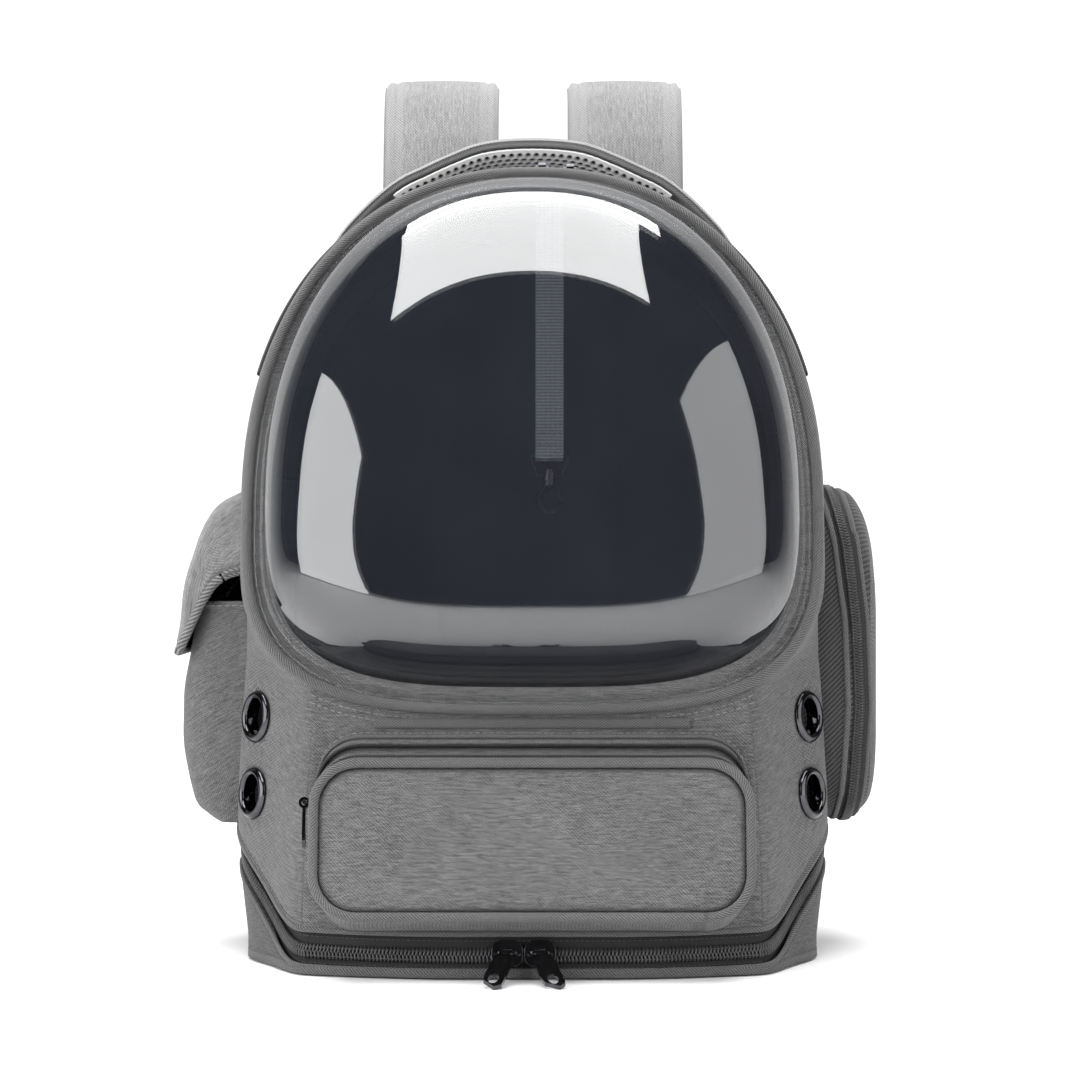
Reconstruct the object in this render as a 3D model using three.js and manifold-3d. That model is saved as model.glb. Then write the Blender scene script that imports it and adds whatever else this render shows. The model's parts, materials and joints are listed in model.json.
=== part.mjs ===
// A pet carrier backpack with a bubble window, in millimetres.
// +Z is up, the bubble faces -Y, and +X is the right-hand side as seen from the front.
// The origin is the middle of the base, on the floor.

import * as THREE from "three";
import { mergeVertices } from "three/addons/utils/BufferGeometryUtils.js";
import Module from "manifold-3d";

const wasm = await Module();
wasm.setup();

// Driving sizes

const clearance = 0.3; // between two pieces that touch
const far = 400; // a reach beyond every face of the part
const wall = 3.2; // foam-backed fabric panel

const body = {
  halfWidth: 155,
  front: -112, // the front face's foot, at the middle
  back: 108,
  rake: THREE.MathUtils.degToRad(13), // the front face leans back
  spring: 232, // where the arch starts
  crownFront: 408,
  crownLevel: 30, // how far the top runs level before it slopes down
  crownBack: 400,
  arch: 2.27, // the arch's roundness: 2 is an ellipse
  topSeam: 20, // the top panel's seam above the spring
  splay: 58, // depth of the slanting side panel behind the front face
  bow: 16, // how far the front face's foot bows back towards its sides
  frontEdge: 5,
  backEdge: 15,
  footEdge: 7,
};

const bubble = {
  halfWidth: 142,
  up: 172, // from its widest height to its top
  down: 98.5,
  archUp: 2.22,
  archDown: 3.4,
  flange: 6,
  bulge: 81,
  flatUp: 4.6, // how long the dome runs level before it turns down: 2 is round
  flatDown: 9,
  change: 32, // half the height over which the one passes into the other
  turn: 2.2, // how round that turn is
  thickness: 1.8,
  lap: 10, // how far the front panel runs in behind the flange
};
const piping = { radius: 2.6, sides: 6 };
const welt = { halfWidth: 79, low: 121.5, high: 126.5, thickness: 1.3 };

const zipLine = { front: 12, side: 56, start: 5, run: 99, ease: 2.7, above: 9, below: 7, end: 20 };
const largeZip = {
  coil: 8,
  rise: 2.6,
  tape: 24,
  slider: { length: 15.5, width: 13, plate: 1.8, bailLength: 11, bailWire: 1.1, bailHeight: 4.3 },
  pull: { length: 33, width: 10.5, head: 5, thickness: 2.2 },
};
const smallZip = {
  coil: 6,
  rise: 2,
  tape: 19,
  slider: { length: 12, width: 10, plate: 1.6, bailLength: 9, bailWire: 0.9, bailHeight: 3.7 },
  pull: { length: 22, width: 7, head: 4, thickness: 1.6 },
};
const tapeThickness = 1;
const slotEase = 0.4; // between a slider and its slot's edge
const baseSliders = [-12.2, 3.9];
const baseLean = THREE.MathUtils.degToRad(14);
const topZip = { behind: 16, low: 300, sliders: [4.8, 19.5] };

const eyelet = {
  hole: 9, outer: 13.5, collar: 0.9, lip: 2.4, heights: [125, 86], along: 0.76, drill: 30,
};
const binding = { thickness: 1.3, low: 0.8, high: 5.2 };

const pocketFront = {
  halfWidth: 105.5,
  rootTop: 119.5,
  rootBottom: 24,
  faceTop: 100,
  faceBottom: 29,
  corner: 20,
  thickness: 22,
  cloth: 2,
  pad: 2,
  faceInset: 1.6,
  padInset: 14,
  pipe: 2.1,
  zipAt: 0.45, // share of the pocket's thickness
  zipFoot: 52,
  sliderHeight: 84,
};
const pocketSide = { front: -20, back: 80, bottom: 69, corner: 16, cloth: 2, root: 30 };
const pouch = { mouth: 184, thickness: 28 };
const zipPocket = { top: 243, corner: 34, thickness: 25, zipEnd: 14 };
// How far the zipped pocket's zip stands out of the body's side, at rising heights.
const pocketZipRows = [
  [55, 8], [85, 12], [130, 15], [175, 13.2], [215, 8], [243, 1.5], [255, 0],
];
const flap = { top: 242, reach: 35, drop: 82, thickness: 2.4, overhang: 5, cord: 1.7 };

const handle = {
  middle: 42, halfSpan: 104, width: 40, thickness: 9, lining: 3, crown: 424, root: 364, lean: 0.2,
  liningSpan: 74,
};
const strap = { at: 52, width: 65, thickness: 9, root: 345, crest: 475.5, foot: 165, reach: 180 };
const webbing = { width: 25, thickness: 1.6, anchorAt: 116, anchorFoot: 22 };
const adjuster = { width: 34, height: 26, thickness: 5 };
const tether = { at: 9, depth: 25, width: 15, thickness: 1.4, fold: 258, doubled: 279 };
const hook = {
  wire: 1.5, eyeWidth: 19, eyeFoot: 250, foot: 230, reach: 5.5, collar: 3.8, collarHeight: 4,
  gate: 1.1, gatePin: 4.6,
};

const mix = THREE.MathUtils.lerp;

// Solids and meshes

function dropFlatTriangles(index) {
  const kept = [];
  for (let i = 0; i < index.length; i += 3) {
    const [a, b, c] = [index[i], index[i + 1], index[i + 2]];
    if (a !== b && b !== c && c !== a) kept.push(a, b, c);
  }
  return new Uint32Array(kept);
}

function solidOf(geometry) {
  const bare = geometry.clone();
  bare.deleteAttribute("normal");
  bare.deleteAttribute("uv");
  const merged = mergeVertices(bare, 1e-4);
  const triVerts = dropFlatTriangles(merged.index.array);
  const vertProperties = new Float32Array(merged.attributes.position.array);
  const solid = new wasm.Manifold(new wasm.Mesh({ numProp: 3, vertProperties, triVerts }));
  if (solid.volume() > 0) return solid;
  for (let i = 0; i < triVerts.length; i += 3) {
    [triVerts[i], triVerts[i + 1]] = [triVerts[i + 1], triVerts[i]];
  }
  return new wasm.Manifold(new wasm.Mesh({ numProp: 3, vertProperties, triVerts }));
}

function geometryOf(solid) {
  const mesh = solid.getMesh();
  const geometry = new THREE.BufferGeometry();
  geometry.setAttribute("position", new THREE.BufferAttribute(mesh.vertProperties, 3));
  geometry.setIndex(new THREE.BufferAttribute(mesh.triVerts, 1));
  return geometry;
}

function moved(solid, matrix) {
  return solid.transform(matrix.elements);
}

// A closed skin over rings of points: each ring has as many points as the next.
function loft(rings, { closed = false } = {}) {
  const count = rings[0].length;
  const points = rings.flat().map((p) => p.clone());
  const index = [];
  const last = closed ? rings.length : rings.length - 1;
  for (let r = 0; r < last; r++) {
    const next = (r + 1) % rings.length;
    for (let i = 0; i < count; i++) {
      const j = (i + 1) % count;
      const [a, b] = [r * count + i, r * count + j];
      const [c, d] = [next * count + j, next * count + i];
      index.push(a, b, c, a, c, d);
    }
  }
  const cap = (ring, start, turn) => {
    const centre = new THREE.Vector3();
    ring.forEach((p) => centre.addScaledVector(p, 1 / count));
    const middle = points.push(centre) - 1;
    for (let i = 0; i < count; i++) {
      const j = (i + 1) % count;
      if (turn) index.push(middle, start + i, start + j);
      else index.push(middle, start + j, start + i);
    }
  };
  if (!closed) {
    cap(rings[0], 0, false);
    cap(rings.at(-1), (rings.length - 1) * count, true);
  }
  const geometry = new THREE.BufferGeometry().setFromPoints(points);
  geometry.setIndex(index);
  return geometry;
}

// A section carried along a path. Its first number points outward, its second across.
function band(path, outward, section, { closed = false } = {}) {
  const last = path.length - 1;
  const rings = path.map((p, i) => {
    const before = closed ? path.at(i - 1) : path[Math.max(i - 1, 0)];
    const after = closed ? path[(i + 1) % path.length] : path[Math.min(i + 1, last)];
    const along = after.clone().sub(before).normalize();
    const out = outward[i].clone().addScaledVector(along, -along.dot(outward[i])).normalize();
    const across = along.clone().cross(out);
    const shape = typeof section === "function" ? section(i / last) : section;
    return shape.map(([o, a]) => p.clone().addScaledVector(out, o).addScaledVector(across, a));
  });
  return loft(rings, { closed });
}

function roundSection(halfThickness, halfWidth, sides) {
  return Array.from({ length: sides }, (_, i) => {
    const a = ((i + 0.5) / sides) * 2 * Math.PI;
    return [halfThickness * Math.sin(a), halfWidth * Math.cos(a)];
  });
}

// A flat section with softened edges, from one height above the path to another.
function flatSection(low, high, halfWidth, edge = 0) {
  if (!edge) {
    return [[low, -halfWidth], [low, halfWidth], [high, halfWidth], [high, -halfWidth]];
  }
  const [a, b, w] = [low + edge, high - edge, halfWidth - edge];
  return [
    [low, -w], [low, w], [a, halfWidth], [b, halfWidth],
    [high, w], [high, -w], [b, -halfWidth], [a, -halfWidth],
  ];
}

function boxSolid(low, high) {
  const size = new THREE.Vector3().subVectors(high, low);
  const middle = new THREE.Vector3().addVectors(low, high).multiplyScalar(0.5);
  const box = new THREE.BoxGeometry(size.x, size.y, size.z);
  return solidOf(box.translate(middle.x, middle.y, middle.z));
}

// A flat outline of [x, z] points carried along Y.
function prismAlongY(outline, low, high) {
  const ringAt = (y) => outline.map(([x, z]) => new THREE.Vector3(x, y, z));
  return solidOf(loft([ringAt(low), ringAt(high)]));
}

const smooth = (points, count, closed = false) =>
  new THREE.CatmullRomCurve3(points, closed, "centripetal").getSpacedPoints(count);

// A frame with x along one direction and z near another.
function frameAt(origin, along, outward) {
  const x = along.clone().normalize();
  const z = outward.clone().addScaledVector(x, -x.dot(outward)).normalize();
  return new THREE.Matrix4().makeBasis(x, z.clone().cross(x), z).setPosition(origin);
}

// Body form

// Half widths at rising heights: heights are shares of body.spring, widths of body.halfWidth.
const bodyRows = [
  { height: 0.052, front: 0.77, shoulder: 0.938, flank: 0.957, rear: 0.935 },
  { height: 0.302, front: 0.761, shoulder: 0.974, flank: 1.0, rear: 0.968 },
  { height: 0.615, front: 0.745, shoulder: 0.965, flank: 0.99, rear: 0.968 },
  { height: 0.7, front: 0.865, shoulder: 0.965, flank: 0.984, rear: 0.965 },
  { height: 0.81, front: 0.946, shoulder: 0.965, flank: 0.977, rear: 0.961 },
  { height: 1.0, front: 0.957, shoulder: 0.966, flank: 0.968, rear: 0.958 },
];
const waistHeight = bodyRows[2].height * body.spring;
const columnCurves = Object.fromEntries(
  ["front", "shoulder", "flank", "rear"].map((name) => [
    name,
    new THREE.SplineCurve(bodyRows.map((r) => new THREE.Vector2(r.height, r[name]))),
  ]),
);

// Shares along the rows' curve, then angles up the arch.
const sideSteps = Array.from({ length: 9 }, (_, i) => i / 8);
const archAngles = [10, 23, 37, 51, 64, 75, 83, 90].map(THREE.MathUtils.degToRad);

// Half widths and height for a share along the rows' curve.
function rowAt(share) {
  const row = { height: columnCurves.front.getPoint(share).x * body.spring };
  for (const name in columnCurves) {
    row[name] = columnCurves[name].getPoint(share).y * body.halfWidth;
  }
  return row;
}

// Half widths at a height below the arch.
function rowAtHeight(height) {
  let [low, high] = [0, 1];
  for (let i = 0; i < 24; i++) {
    const middle = (low + high) / 2;
    if (rowAt(middle).height < height) low = middle;
    else high = middle;
  }
  return { ...rowAt((low + high) / 2), height };
}

const frontY = (height) => body.front + height * Math.tan(body.rake);
const bowAt = (height) => body.bow * Math.max(0, 1 - height / waistHeight);

// The right half of the body's outline at one height, from the front's middle to the back's.
function halfPlan(row, inset) {
  const front = frontY(row.height) + inset;
  const bow = bowAt(row.height);
  const back = body.back - inset;
  const [f, s, k, r] = [row.front, row.shoulder, row.flank, row.rear].map((w) => w - inset);
  const side = front + bow + body.frontEdge;
  const shoulder = front + bow + body.splay;
  const run = back - body.backEdge - shoulder;
  return [
    [0, front],
    [0.35 * f, front],
    [0.68 * f, front + 0.4 * bow],
    [f - body.frontEdge, front + bow],
    [f, side],
    [mix(f, s, 0.5), mix(side, shoulder, 0.5)],
    [s, shoulder],
    [mix(s, k, 0.8), shoulder + 0.15 * run],
    [k, shoulder + 0.4 * run],
    [mix(k, r, 0.5), shoulder + 0.7 * run],
    [r, back - body.backEdge],
    [r - 0.3 * body.backEdge, back - 0.3 * body.backEdge],
    [r - body.backEdge, back],
    [0, back],
  ];
}

// A whole ring: the right half, then the left one back to the start.
function wholeRing(half, heightAt, widthShare = 1) {
  const right = half.map(([x, y]) => new THREE.Vector3(x * widthShare, y, heightAt(y)));
  const left = right.slice(1, -1).reverse().map((p) => new THREE.Vector3(-p.x, p.y, p.z));
  return [...right, ...left];
}

// The top slopes from the front face's crown down to the back.
function crownHeight(y) {
  const start = frontY(body.crownFront) + body.crownLevel;
  const share = THREE.MathUtils.clamp((y - start) / (body.back - start), 0, 1);
  return mix(body.crownFront, body.crownBack, share);
}

// The body's outer form, or with an inset the hollow inside it.
function bodySolid(inset) {
  const rings = [];
  const foot = rowAt(0);
  for (const turn of [0, 0.5]) {
    const drop = body.footEdge * (1 - Math.sin((turn * Math.PI) / 2));
    const height = body.footEdge * (1 - Math.cos((turn * Math.PI) / 2));
    rings.push(wholeRing(halfPlan({ ...foot, height }, inset + drop), () => height + inset));
  }
  for (const step of sideSteps) {
    const row = rowAt(step);
    const height = row.height + inset * (1 - row.height / body.spring);
    rings.push(wholeRing(halfPlan({ ...row, height }, inset), () => height));
  }
  const spring = rowAt(1);
  for (const angle of archAngles) {
    const up = Math.sin(angle) ** (2 / body.arch);
    const across = angle === archAngles.at(-1) ? 0 : Math.cos(angle) ** (2 / body.arch);
    const heightAt = (y) => body.spring + (crownHeight(y) - inset - body.spring) * up;
    const half = halfPlan({ ...spring, height: heightAt(body.front) }, inset);
    rings.push(wholeRing(half, heightAt, across));
  }
  return solidOf(loft(rings));
}

// Front plane: local x runs across, z up the slope and -y outward

const slope = 1 / Math.cos(body.rake);
const frontFrame = new THREE.Matrix4()
  .makeRotationX(-body.rake)
  .setPosition(0, body.front, 0);

// The bubble's outline in the front plane, grown by a margin, as [x, z] points.
function bubbleOutline(margin, count) {
  const middle = body.spring * slope;
  return Array.from({ length: count }, (_, i) => {
    const a = (i / count) * 2 * Math.PI;
    const [c, s] = [Math.cos(a), Math.sin(a)];
    const n = s >= 0 ? bubble.archUp : bubble.archDown;
    const reach = (s >= 0 ? bubble.up : bubble.down) * slope + margin;
    const x = Math.sign(c) * Math.abs(c) ** (2 / n) * (bubble.halfWidth + margin);
    return [x, middle + Math.sign(s) * Math.abs(s) ** (2 / n) * reach];
  });
}

// The front face's outline, seen along Y, with a margin.
function frontOutline(margin) {
  const right = [];
  right.push([rowAt(0).front + margin, -50]);
  for (const step of sideSteps) {
    const row = rowAt(step);
    right.push([row.front + margin, row.height]);
  }
  const spring = rowAt(1);
  for (const angle of archAngles.slice(0, -1)) {
    const n = 2 / body.arch;
    right.push([
      (spring.front + margin) * Math.cos(angle) ** n,
      body.spring + (body.crownFront + margin - body.spring) * Math.sin(angle) ** n,
    ]);
  }
  const left = right.map(([x, z]) => [-x, z]).reverse();
  return [...right, [0, body.crownFront + margin], ...left];
}

// Base zip

function zipHeight(y) {
  const share = THREE.MathUtils.clamp((y - body.front - zipLine.start) / zipLine.run, 0, 1);
  const eased = Math.sin((share * Math.PI) / 2) ** zipLine.ease;
  return mix(zipLine.front, zipLine.side, eased);
}

// Everything under the zip's line, shifted up or down.
function underZip(shift) {
  const steps = 12;
  const outline = [[far, -far], [-far, -far], [-far, zipLine.front + shift]];
  for (let i = 0; i <= steps; i++) {
    const y = body.front + zipLine.start + (zipLine.run * i) / steps;
    outline.push([y, zipHeight(y) + shift]);
  }
  outline.push([far, zipLine.side + shift]);
  const turn = new THREE.Matrix4().makeRotationZ(Math.PI / 2);
  return moved(prismAlongY(outline, -far, far), turn);
}

const zipBand = (low, high) => underZip(high).subtract(underZip(low));

// A skin between two distances outside the body's face. Negative is inside.
const skin = (low, high) => bodySolid(-high).subtract(bodySolid(-low));
const tapeSkin = () => skin(-wall - clearance - tapeThickness, -wall - clearance);
const coilSkin = ({ rise }) => skin(-wall, rise - wall);

function buildBaseZip() {
  const seen = (end) => boxSolid(
    new THREE.Vector3(-far, -far, binding.high + 1), new THREE.Vector3(far, body.back - end, far),
  );
  const half = largeZip.coil / 2;
  const tapeHalf = largeZip.tape / 2;
  return {
    tape: tapeSkin().intersect(zipBand(-tapeHalf, tapeHalf)).intersect(seen(zipLine.end)),
    coil: coilSkin(largeZip).intersect(zipBand(-half, half)).intersect(seen(zipLine.end + 3)),
  };
}

// Body panels

function buildPanels() {
  const shell = skin(-wall, 0);
  const opening = bubbleOutline(-bubble.lap, 40);
  const window = moved(prismAlongY(opening, -far, far), frontFrame);
  const nearFront = moved(boxSolid(
    new THREE.Vector3(-far, -far, -far), new THREE.Vector3(far, body.crownLevel - 4, 2 * far),
  ), frontFrame);
  const inFront = (margin) => prismAlongY(frontOutline(margin), -far, far).intersect(nearFront);
  const frontCore = inFront(-wall - 1);
  const frontHole = inFront(-wall - 1 + clearance);
  const rearWidth = rowAt(1).rear - body.backEdge;
  const inBack = (margin) => boxSolid(
    new THREE.Vector3(-rearWidth - margin, body.back - wall - 1 - margin, -far),
    new THREE.Vector3(rearWidth + margin, far, 2 * far),
  );
  const backCore = inBack(0);
  const backHole = inBack(clearance);
  const upper = shell.subtract(underZip(zipLine.above));
  const ring = upper.subtract(frontHole).subtract(backHole);
  const split = body.spring + body.topSeam;
  const cut = (low, high) => ring.intersect(boxSolid(
    new THREE.Vector3(low[0], -far, low[1]),
    new THREE.Vector3(high[0], far, high[1]),
  ));
  const eyeletHoles = eyeletPlaces().map((place) => {
    const radius = eyelet.hole + eyelet.collar + clearance;
    const drill = new THREE.CylinderGeometry(radius, radius, eyelet.drill, 28);
    return moved(solidOf(drill.rotateX(Math.PI / 2)), place);
  });
  let [left, right] = [cut([-far, -far], [0, split]), cut([0, -far], [far, split])];
  for (const hole of eyeletHoles) {
    left = left.subtract(hole);
    right = right.subtract(hole);
  }
  return {
    front_panel: upper.intersect(frontCore).subtract(window),
    side_panel_left: left,
    side_panel_right: right,
    top_panel: cut([-far, split + clearance], [far, 2 * far]).subtract(topZipSlot()),
    back_panel: shell.intersect(backCore),
    base_tray: shell.intersect(underZip(-zipLine.below)).subtract(backHole),
  };
}

// Top zip, in the gusset behind the bubble's rim

// A slab parallel to the front face, along the top zip's line.
function topZipSlab(half, drop) {
  return moved(boxSolid(
    new THREE.Vector3(-far, topZip.behind - half, topZip.low * slope - drop),
    new THREE.Vector3(far, topZip.behind + half, 2 * far),
  ), frontFrame);
}

const topZipSlot = () => topZipSlab(smallZip.slider.width / 2 + 3 * slotEase, 3);

const buildTopZip = () => ({
  tape: tapeSkin().intersect(topZipSlab(smallZip.tape / 2, 6)),
  coil: coilSkin(smallZip).intersect(topZipSlab(smallZip.coil / 2, 0)),
});

// A frame on the top zip's tape: x along the zip, z out of the panel.
function topZipPlace(x) {
  const at = (across, behind) => {
    const height = body.crownFront;
    const y = frontY(height) + behind * slope;
    const [edge, shoulder] = [rowAt(1).front, rowAt(1).shoulder];
    const width = mix(edge, shoulder, (behind * slope - body.frontEdge) / body.splay);
    const [angle, n] = [archAngles.at(-2), 2 / body.arch];
    const next = width * Math.cos(angle) ** n;
    const drop = (crownHeight(y) - body.spring) * (1 - Math.sin(angle) ** n) * (Math.abs(across) / next);
    return new THREE.Vector3(across, y, crownHeight(y) - drop);
  };
  const origin = at(x, topZip.behind);
  const along = at(x + 1, topZip.behind).sub(at(x, topZip.behind));
  const back = at(x, topZip.behind + 5).sub(at(x, topZip.behind));
  const out = along.clone().cross(back).normalize();
  return frameAt(origin.addScaledVector(out, -wall - clearance), along, out);
}

// Eyelets

// Frames on the slanting side panels: local z points out of the panel.
function eyeletPlaces() {
  const places = [];
  for (const side of [-1, 1]) {
    for (const height of eyelet.heights) {
      const at = (h, share) => {
        const half = halfPlan(rowAtHeight(h), 0);
        const [a, b] = [half[4], half[6]];
        const x = mix(a[0], b[0], share) * side;
        return new THREE.Vector3(x, mix(a[1], b[1], share), h);
      };
      const middle = at(height, eyelet.along);
      const along = at(height, 1).sub(at(height, 0)).normalize();
      const up = at(height + 8, eyelet.along).sub(at(height - 8, eyelet.along)).normalize();
      const out = along.clone().cross(up).multiplyScalar(side).normalize();
      const across = up.clone().cross(out).normalize();
      places.push(new THREE.Matrix4().makeBasis(across, out.clone().cross(across), out)
        .setPosition(middle));
    }
  }
  return places;
}

function eyeletGeometry() {
  const { hole, outer, collar, lip } = eyelet;
  const seat = 2 * clearance;
  const profile = [
    [hole, -wall - 2], [hole + collar, -wall - 2], [hole + collar, seat], [outer, seat],
    [outer, seat + 0.8], [outer - 1.6, seat + lip], [hole + 1.4, seat + lip],
    [hole, seat + lip - 1.2], [hole, -wall - 2],
  ].map(([r, z]) => new THREE.Vector2(r, z));
  return new THREE.LatheGeometry(profile, 24).rotateX(Math.PI / 2);
}

// Bubble

function buildBubble() {
  const count = 36;
  const shares = [0.3, 0.55, 0.72, 0.84, 0.92, 0.97, 0.993, 1];
  const [middle, flat] = [body.spring * slope, bubble.thickness];
  const seat = clearance;
  const height = (share, rise) => {
    const lower = THREE.MathUtils.smoothstep(-rise, -bubble.change, bubble.change);
    const power = mix(bubble.flatUp, bubble.flatDown, lower);
    return bubble.bulge * Math.max(0, 1 - share ** power) ** (1 / bubble.turn);
  };
  const ring = (margin, share, lift) =>
    bubbleOutline(margin, count).map(([x, z]) => {
      const rise = (z - middle) * share;
      return new THREE.Vector3(x * share, -lift - height(share, rise), middle + rise);
    });
  const outer = shares.map((s) => ring(-bubble.flange, s, flat + seat));
  const inner = shares.map((s) => ring(-bubble.flange - flat, s, seat));
  const edge = [ring(0, 1, flat + seat), ring(0, 1, seat)];
  return loft([...outer, ...edge, ...inner.reverse()]);
}

function buildPiping() {
  const path = bubbleOutline(piping.radius + clearance, 44)
    .map(([x, z]) => new THREE.Vector3(x, -piping.radius - clearance, z));
  const outward = path.map(() => new THREE.Vector3(0, -1, 0));
  return band(path, outward, roundSection(piping.radius, piping.radius, piping.sides), { closed: true });
}

// The strip sewn on under the bubble.
function buildWelt() {
  const strip = boxSolid(
    new THREE.Vector3(-welt.halfWidth, -20, welt.low * slope),
    new THREE.Vector3(welt.halfWidth, 20, welt.high * slope),
  );
  return skin(clearance, clearance + welt.thickness).intersect(moved(strip, frontFrame));
}

// The binding round the foot of the base.
function buildBinding() {
  const slab = boxSolid(
    new THREE.Vector3(-far, -far, binding.low), new THREE.Vector3(far, far, binding.high),
  );
  return skin(clearance, clearance + binding.thickness).intersect(slab);
}

// Rounded rectangle of [x, z] points, anticlockwise from its lower right corner.
function roundedOutline(left, right, bottom, top, corner, perCorner = 4) {
  const points = [];
  const corners = [[right, bottom, 1, -1], [right, top, 1, 1], [left, top, -1, 1], [left, bottom, -1, -1]];
  corners.forEach(([x, z, sx, sz], k) => {
    for (let i = 0; i <= perCorner; i++) {
      const a = (k - 1 + i / perCorner) * (Math.PI / 2);
      points.push([
        x - sx * corner + corner * Math.cos(a),
        z - sz * corner + corner * Math.sin(a),
      ]);
    }
  });
  return points;
}

// Front pocket, in the front plane

// The pocket's outline at a share of its thickness.
function frontPocketRing(share, inset, lift) {
  const top = mix(pocketFront.rootTop, pocketFront.faceTop, share) * slope;
  const bottom = mix(pocketFront.rootBottom, pocketFront.faceBottom, share) * slope;
  const half = pocketFront.halfWidth;
  return roundedOutline(
    -half + inset, half - inset, bottom + inset, top - inset, pocketFront.corner - inset, 5,
  ).map(([x, z]) => new THREE.Vector3(x, -lift, z));
}

// The pocket's full form between two heights off the front plane.
function frontPocketForm(inset, low, high) {
  return solidOf(loft([
    frontPocketRing(0, inset, low), frontPocketRing(0, inset, 0), frontPocketRing(1, inset, high),
  ]));
}

function frontPocketSlab(half, foot) {
  const depth = pocketFront.thickness * pocketFront.zipAt;
  return boxSolid(
    new THREE.Vector3(-far, -depth - half, foot * slope),
    new THREE.Vector3(far, -depth + half, far),
  );
}

function buildFrontPocket(outerBody) {
  const { thickness, cloth, pad, zipFoot, faceInset, padInset, pipe } = pocketFront;
  const deep = -body.bow - 8;
  const slotHalf = smallZip.slider.width / 2 + slotEase;
  const sleeve = (out, inside) => frontPocketForm(-out, deep, thickness)
    .subtract(frontPocketForm(inside, deep - 1, thickness + 1));
  const cut = sleeve(0, cloth).subtract(frontPocketSlab(slotHalf, zipFoot));
  const tape = sleeve(-cloth / 2 - 0.1, cloth)
    .intersect(frontPocketSlab(slotHalf - clearance, zipFoot + clearance));
  const coil = sleeve(smallZip.rise / 2 - 0.1, cloth / 2 + 0.2)
    .intersect(frontPocketSlab(smallZip.coil / 2, zipFoot + clearance));
  const faceLift = thickness + clearance;
  const pipePath = smooth(frontPocketRing(1, -1.3, faceLift + pipe - 0.2), 44, true).slice(0, -1);
  return {
    gusset: moved(cut, frontFrame).subtract(outerBody),
    zip: moved(tape.add(coil), frontFrame),
    face: loft([
      frontPocketRing(1, faceInset, faceLift),
      frontPocketRing(1, faceInset, faceLift + cloth),
      frontPocketRing(1, padInset, faceLift + cloth + pad),
    ]),
    piped: band(
      pipePath, pipePath.map(() => new THREE.Vector3(0, -1, 0)),
      roundSection(pipe, pipe, piping.sides), { closed: true },
    ),
  };
}

// A frame on the front pocket's left zip, in the front plane: x down the zip, z out of the gusset.
function frontPocketZipPlace() {
  const { halfWidth, cloth, thickness, zipAt, sliderHeight } = pocketFront;
  const origin = new THREE.Vector3(
    -(halfWidth - cloth / 2 - 0.1), -thickness * zipAt, sliderHeight * slope,
  );
  return frameAt(origin, new THREE.Vector3(0, 0, -1), new THREE.Vector3(-1, 0, 0));
}

// Side pockets

// How far the open pocket stands out, at shares of its height.
const pouchRows = [
  [0, 0.28], [0.03, 0.52], [0.08, 0.75], [0.15, 0.86], [0.24, 0.95],
  [0.36, 1], [0.52, 1], [0.66, 0.96], [0.8, 0.87], [0.9, 0.78], [1, 0.68],
];

function pouchForm(inset, rise) {
  const { front, back, bottom, corner } = pocketSide;
  const [low, high] = [bottom + inset, pouch.mouth + rise];
  const root = body.halfWidth - pocketSide.root;
  return solidOf(loft(pouchRows.map(([share, out]) => {
    const face = body.halfWidth + pouch.thickness * out - inset;
    const half = roundedOutline(
      -face, face, front + inset, back - inset, Math.min(corner, pouch.thickness * out) - inset, 4,
    );
    return half.filter(([x]) => x > 0).concat([[root, back - inset], [root, front + inset]])
      .map(([x, y]) => new THREE.Vector3(-x, y, mix(low, high, share)));
  })));
}

const buildPouch = (outerBody) => pouchForm(0, 0)
  .subtract(pouchForm(pocketSide.cloth, 1)).subtract(outerBody);

// Steps over the zipped pocket's face edge: its share of the thickness, then how far it draws in.
const faceSteps = [[0, 0], [0.45, 0.5], [0.75, 5], [0.93, 11], [1, 17]];

function zipPocketForm(inset) {
  const { front, back, bottom } = pocketSide;
  const { top, corner, thickness } = zipPocket;
  const ringAt = (x, draw) => roundedOutline(
    front + inset + 0.7 * draw, back - inset - 0.7 * draw,
    bottom + inset + 0.8 * draw, top - inset - 2 * draw, corner - inset, 4,
  ).map(([y, z]) => new THREE.Vector3(x, y, z));
  const rings = faceSteps.map(([share, draw]) =>
    ringAt(body.halfWidth + (thickness - inset) * share, draw));
  return solidOf(loft([ringAt(body.halfWidth - pocketSide.root, 0), ...rings]));
}

function zipPocketSlab(half, drop) {
  const side = (shift) => pocketZipRows.map(([z, out]) => [body.halfWidth + out + shift, z]);
  return prismAlongY(
    [...side(half), ...side(-half).reverse()], -far, pocketSide.back - zipPocket.zipEnd - drop,
  );
}

function buildZipPocket(outerBody) {
  const { cloth } = pocketSide;
  const sleeve = (out, inside) => zipPocketForm(-out).subtract(zipPocketForm(inside));
  const slotHalf = smallZip.slider.width / 2 + slotEase;
  const tape = sleeve(-cloth / 2 - 0.1, cloth).intersect(zipPocketSlab(slotHalf - clearance, clearance));
  const coil = sleeve(smallZip.rise / 2 - 0.1, cloth / 2 + 0.2)
    .intersect(zipPocketSlab(smallZip.coil / 2, clearance));
  return {
    pocket: sleeve(0, cloth).subtract(zipPocketSlab(slotHalf, 0)).subtract(outerBody),
    zip: tape.add(coil),
  };
}

// A frame on the zipped pocket's upper rear zip: x along the zip, z up.
function zipPocketZipPlace() {
  const { top, zipEnd } = zipPocket;
  const { back, cloth } = pocketSide;
  const [, out] = pocketZipRows.find(([z]) => z >= top);
  const origin = new THREE.Vector3(
    body.halfWidth + out, back - zipEnd - smallZip.slider.length, top - cloth / 2 - 0.1,
  );
  return frameAt(origin, new THREE.Vector3(0, 1, 0), new THREE.Vector3(0, 0, 1));
}

// Flap over the open pocket

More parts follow.
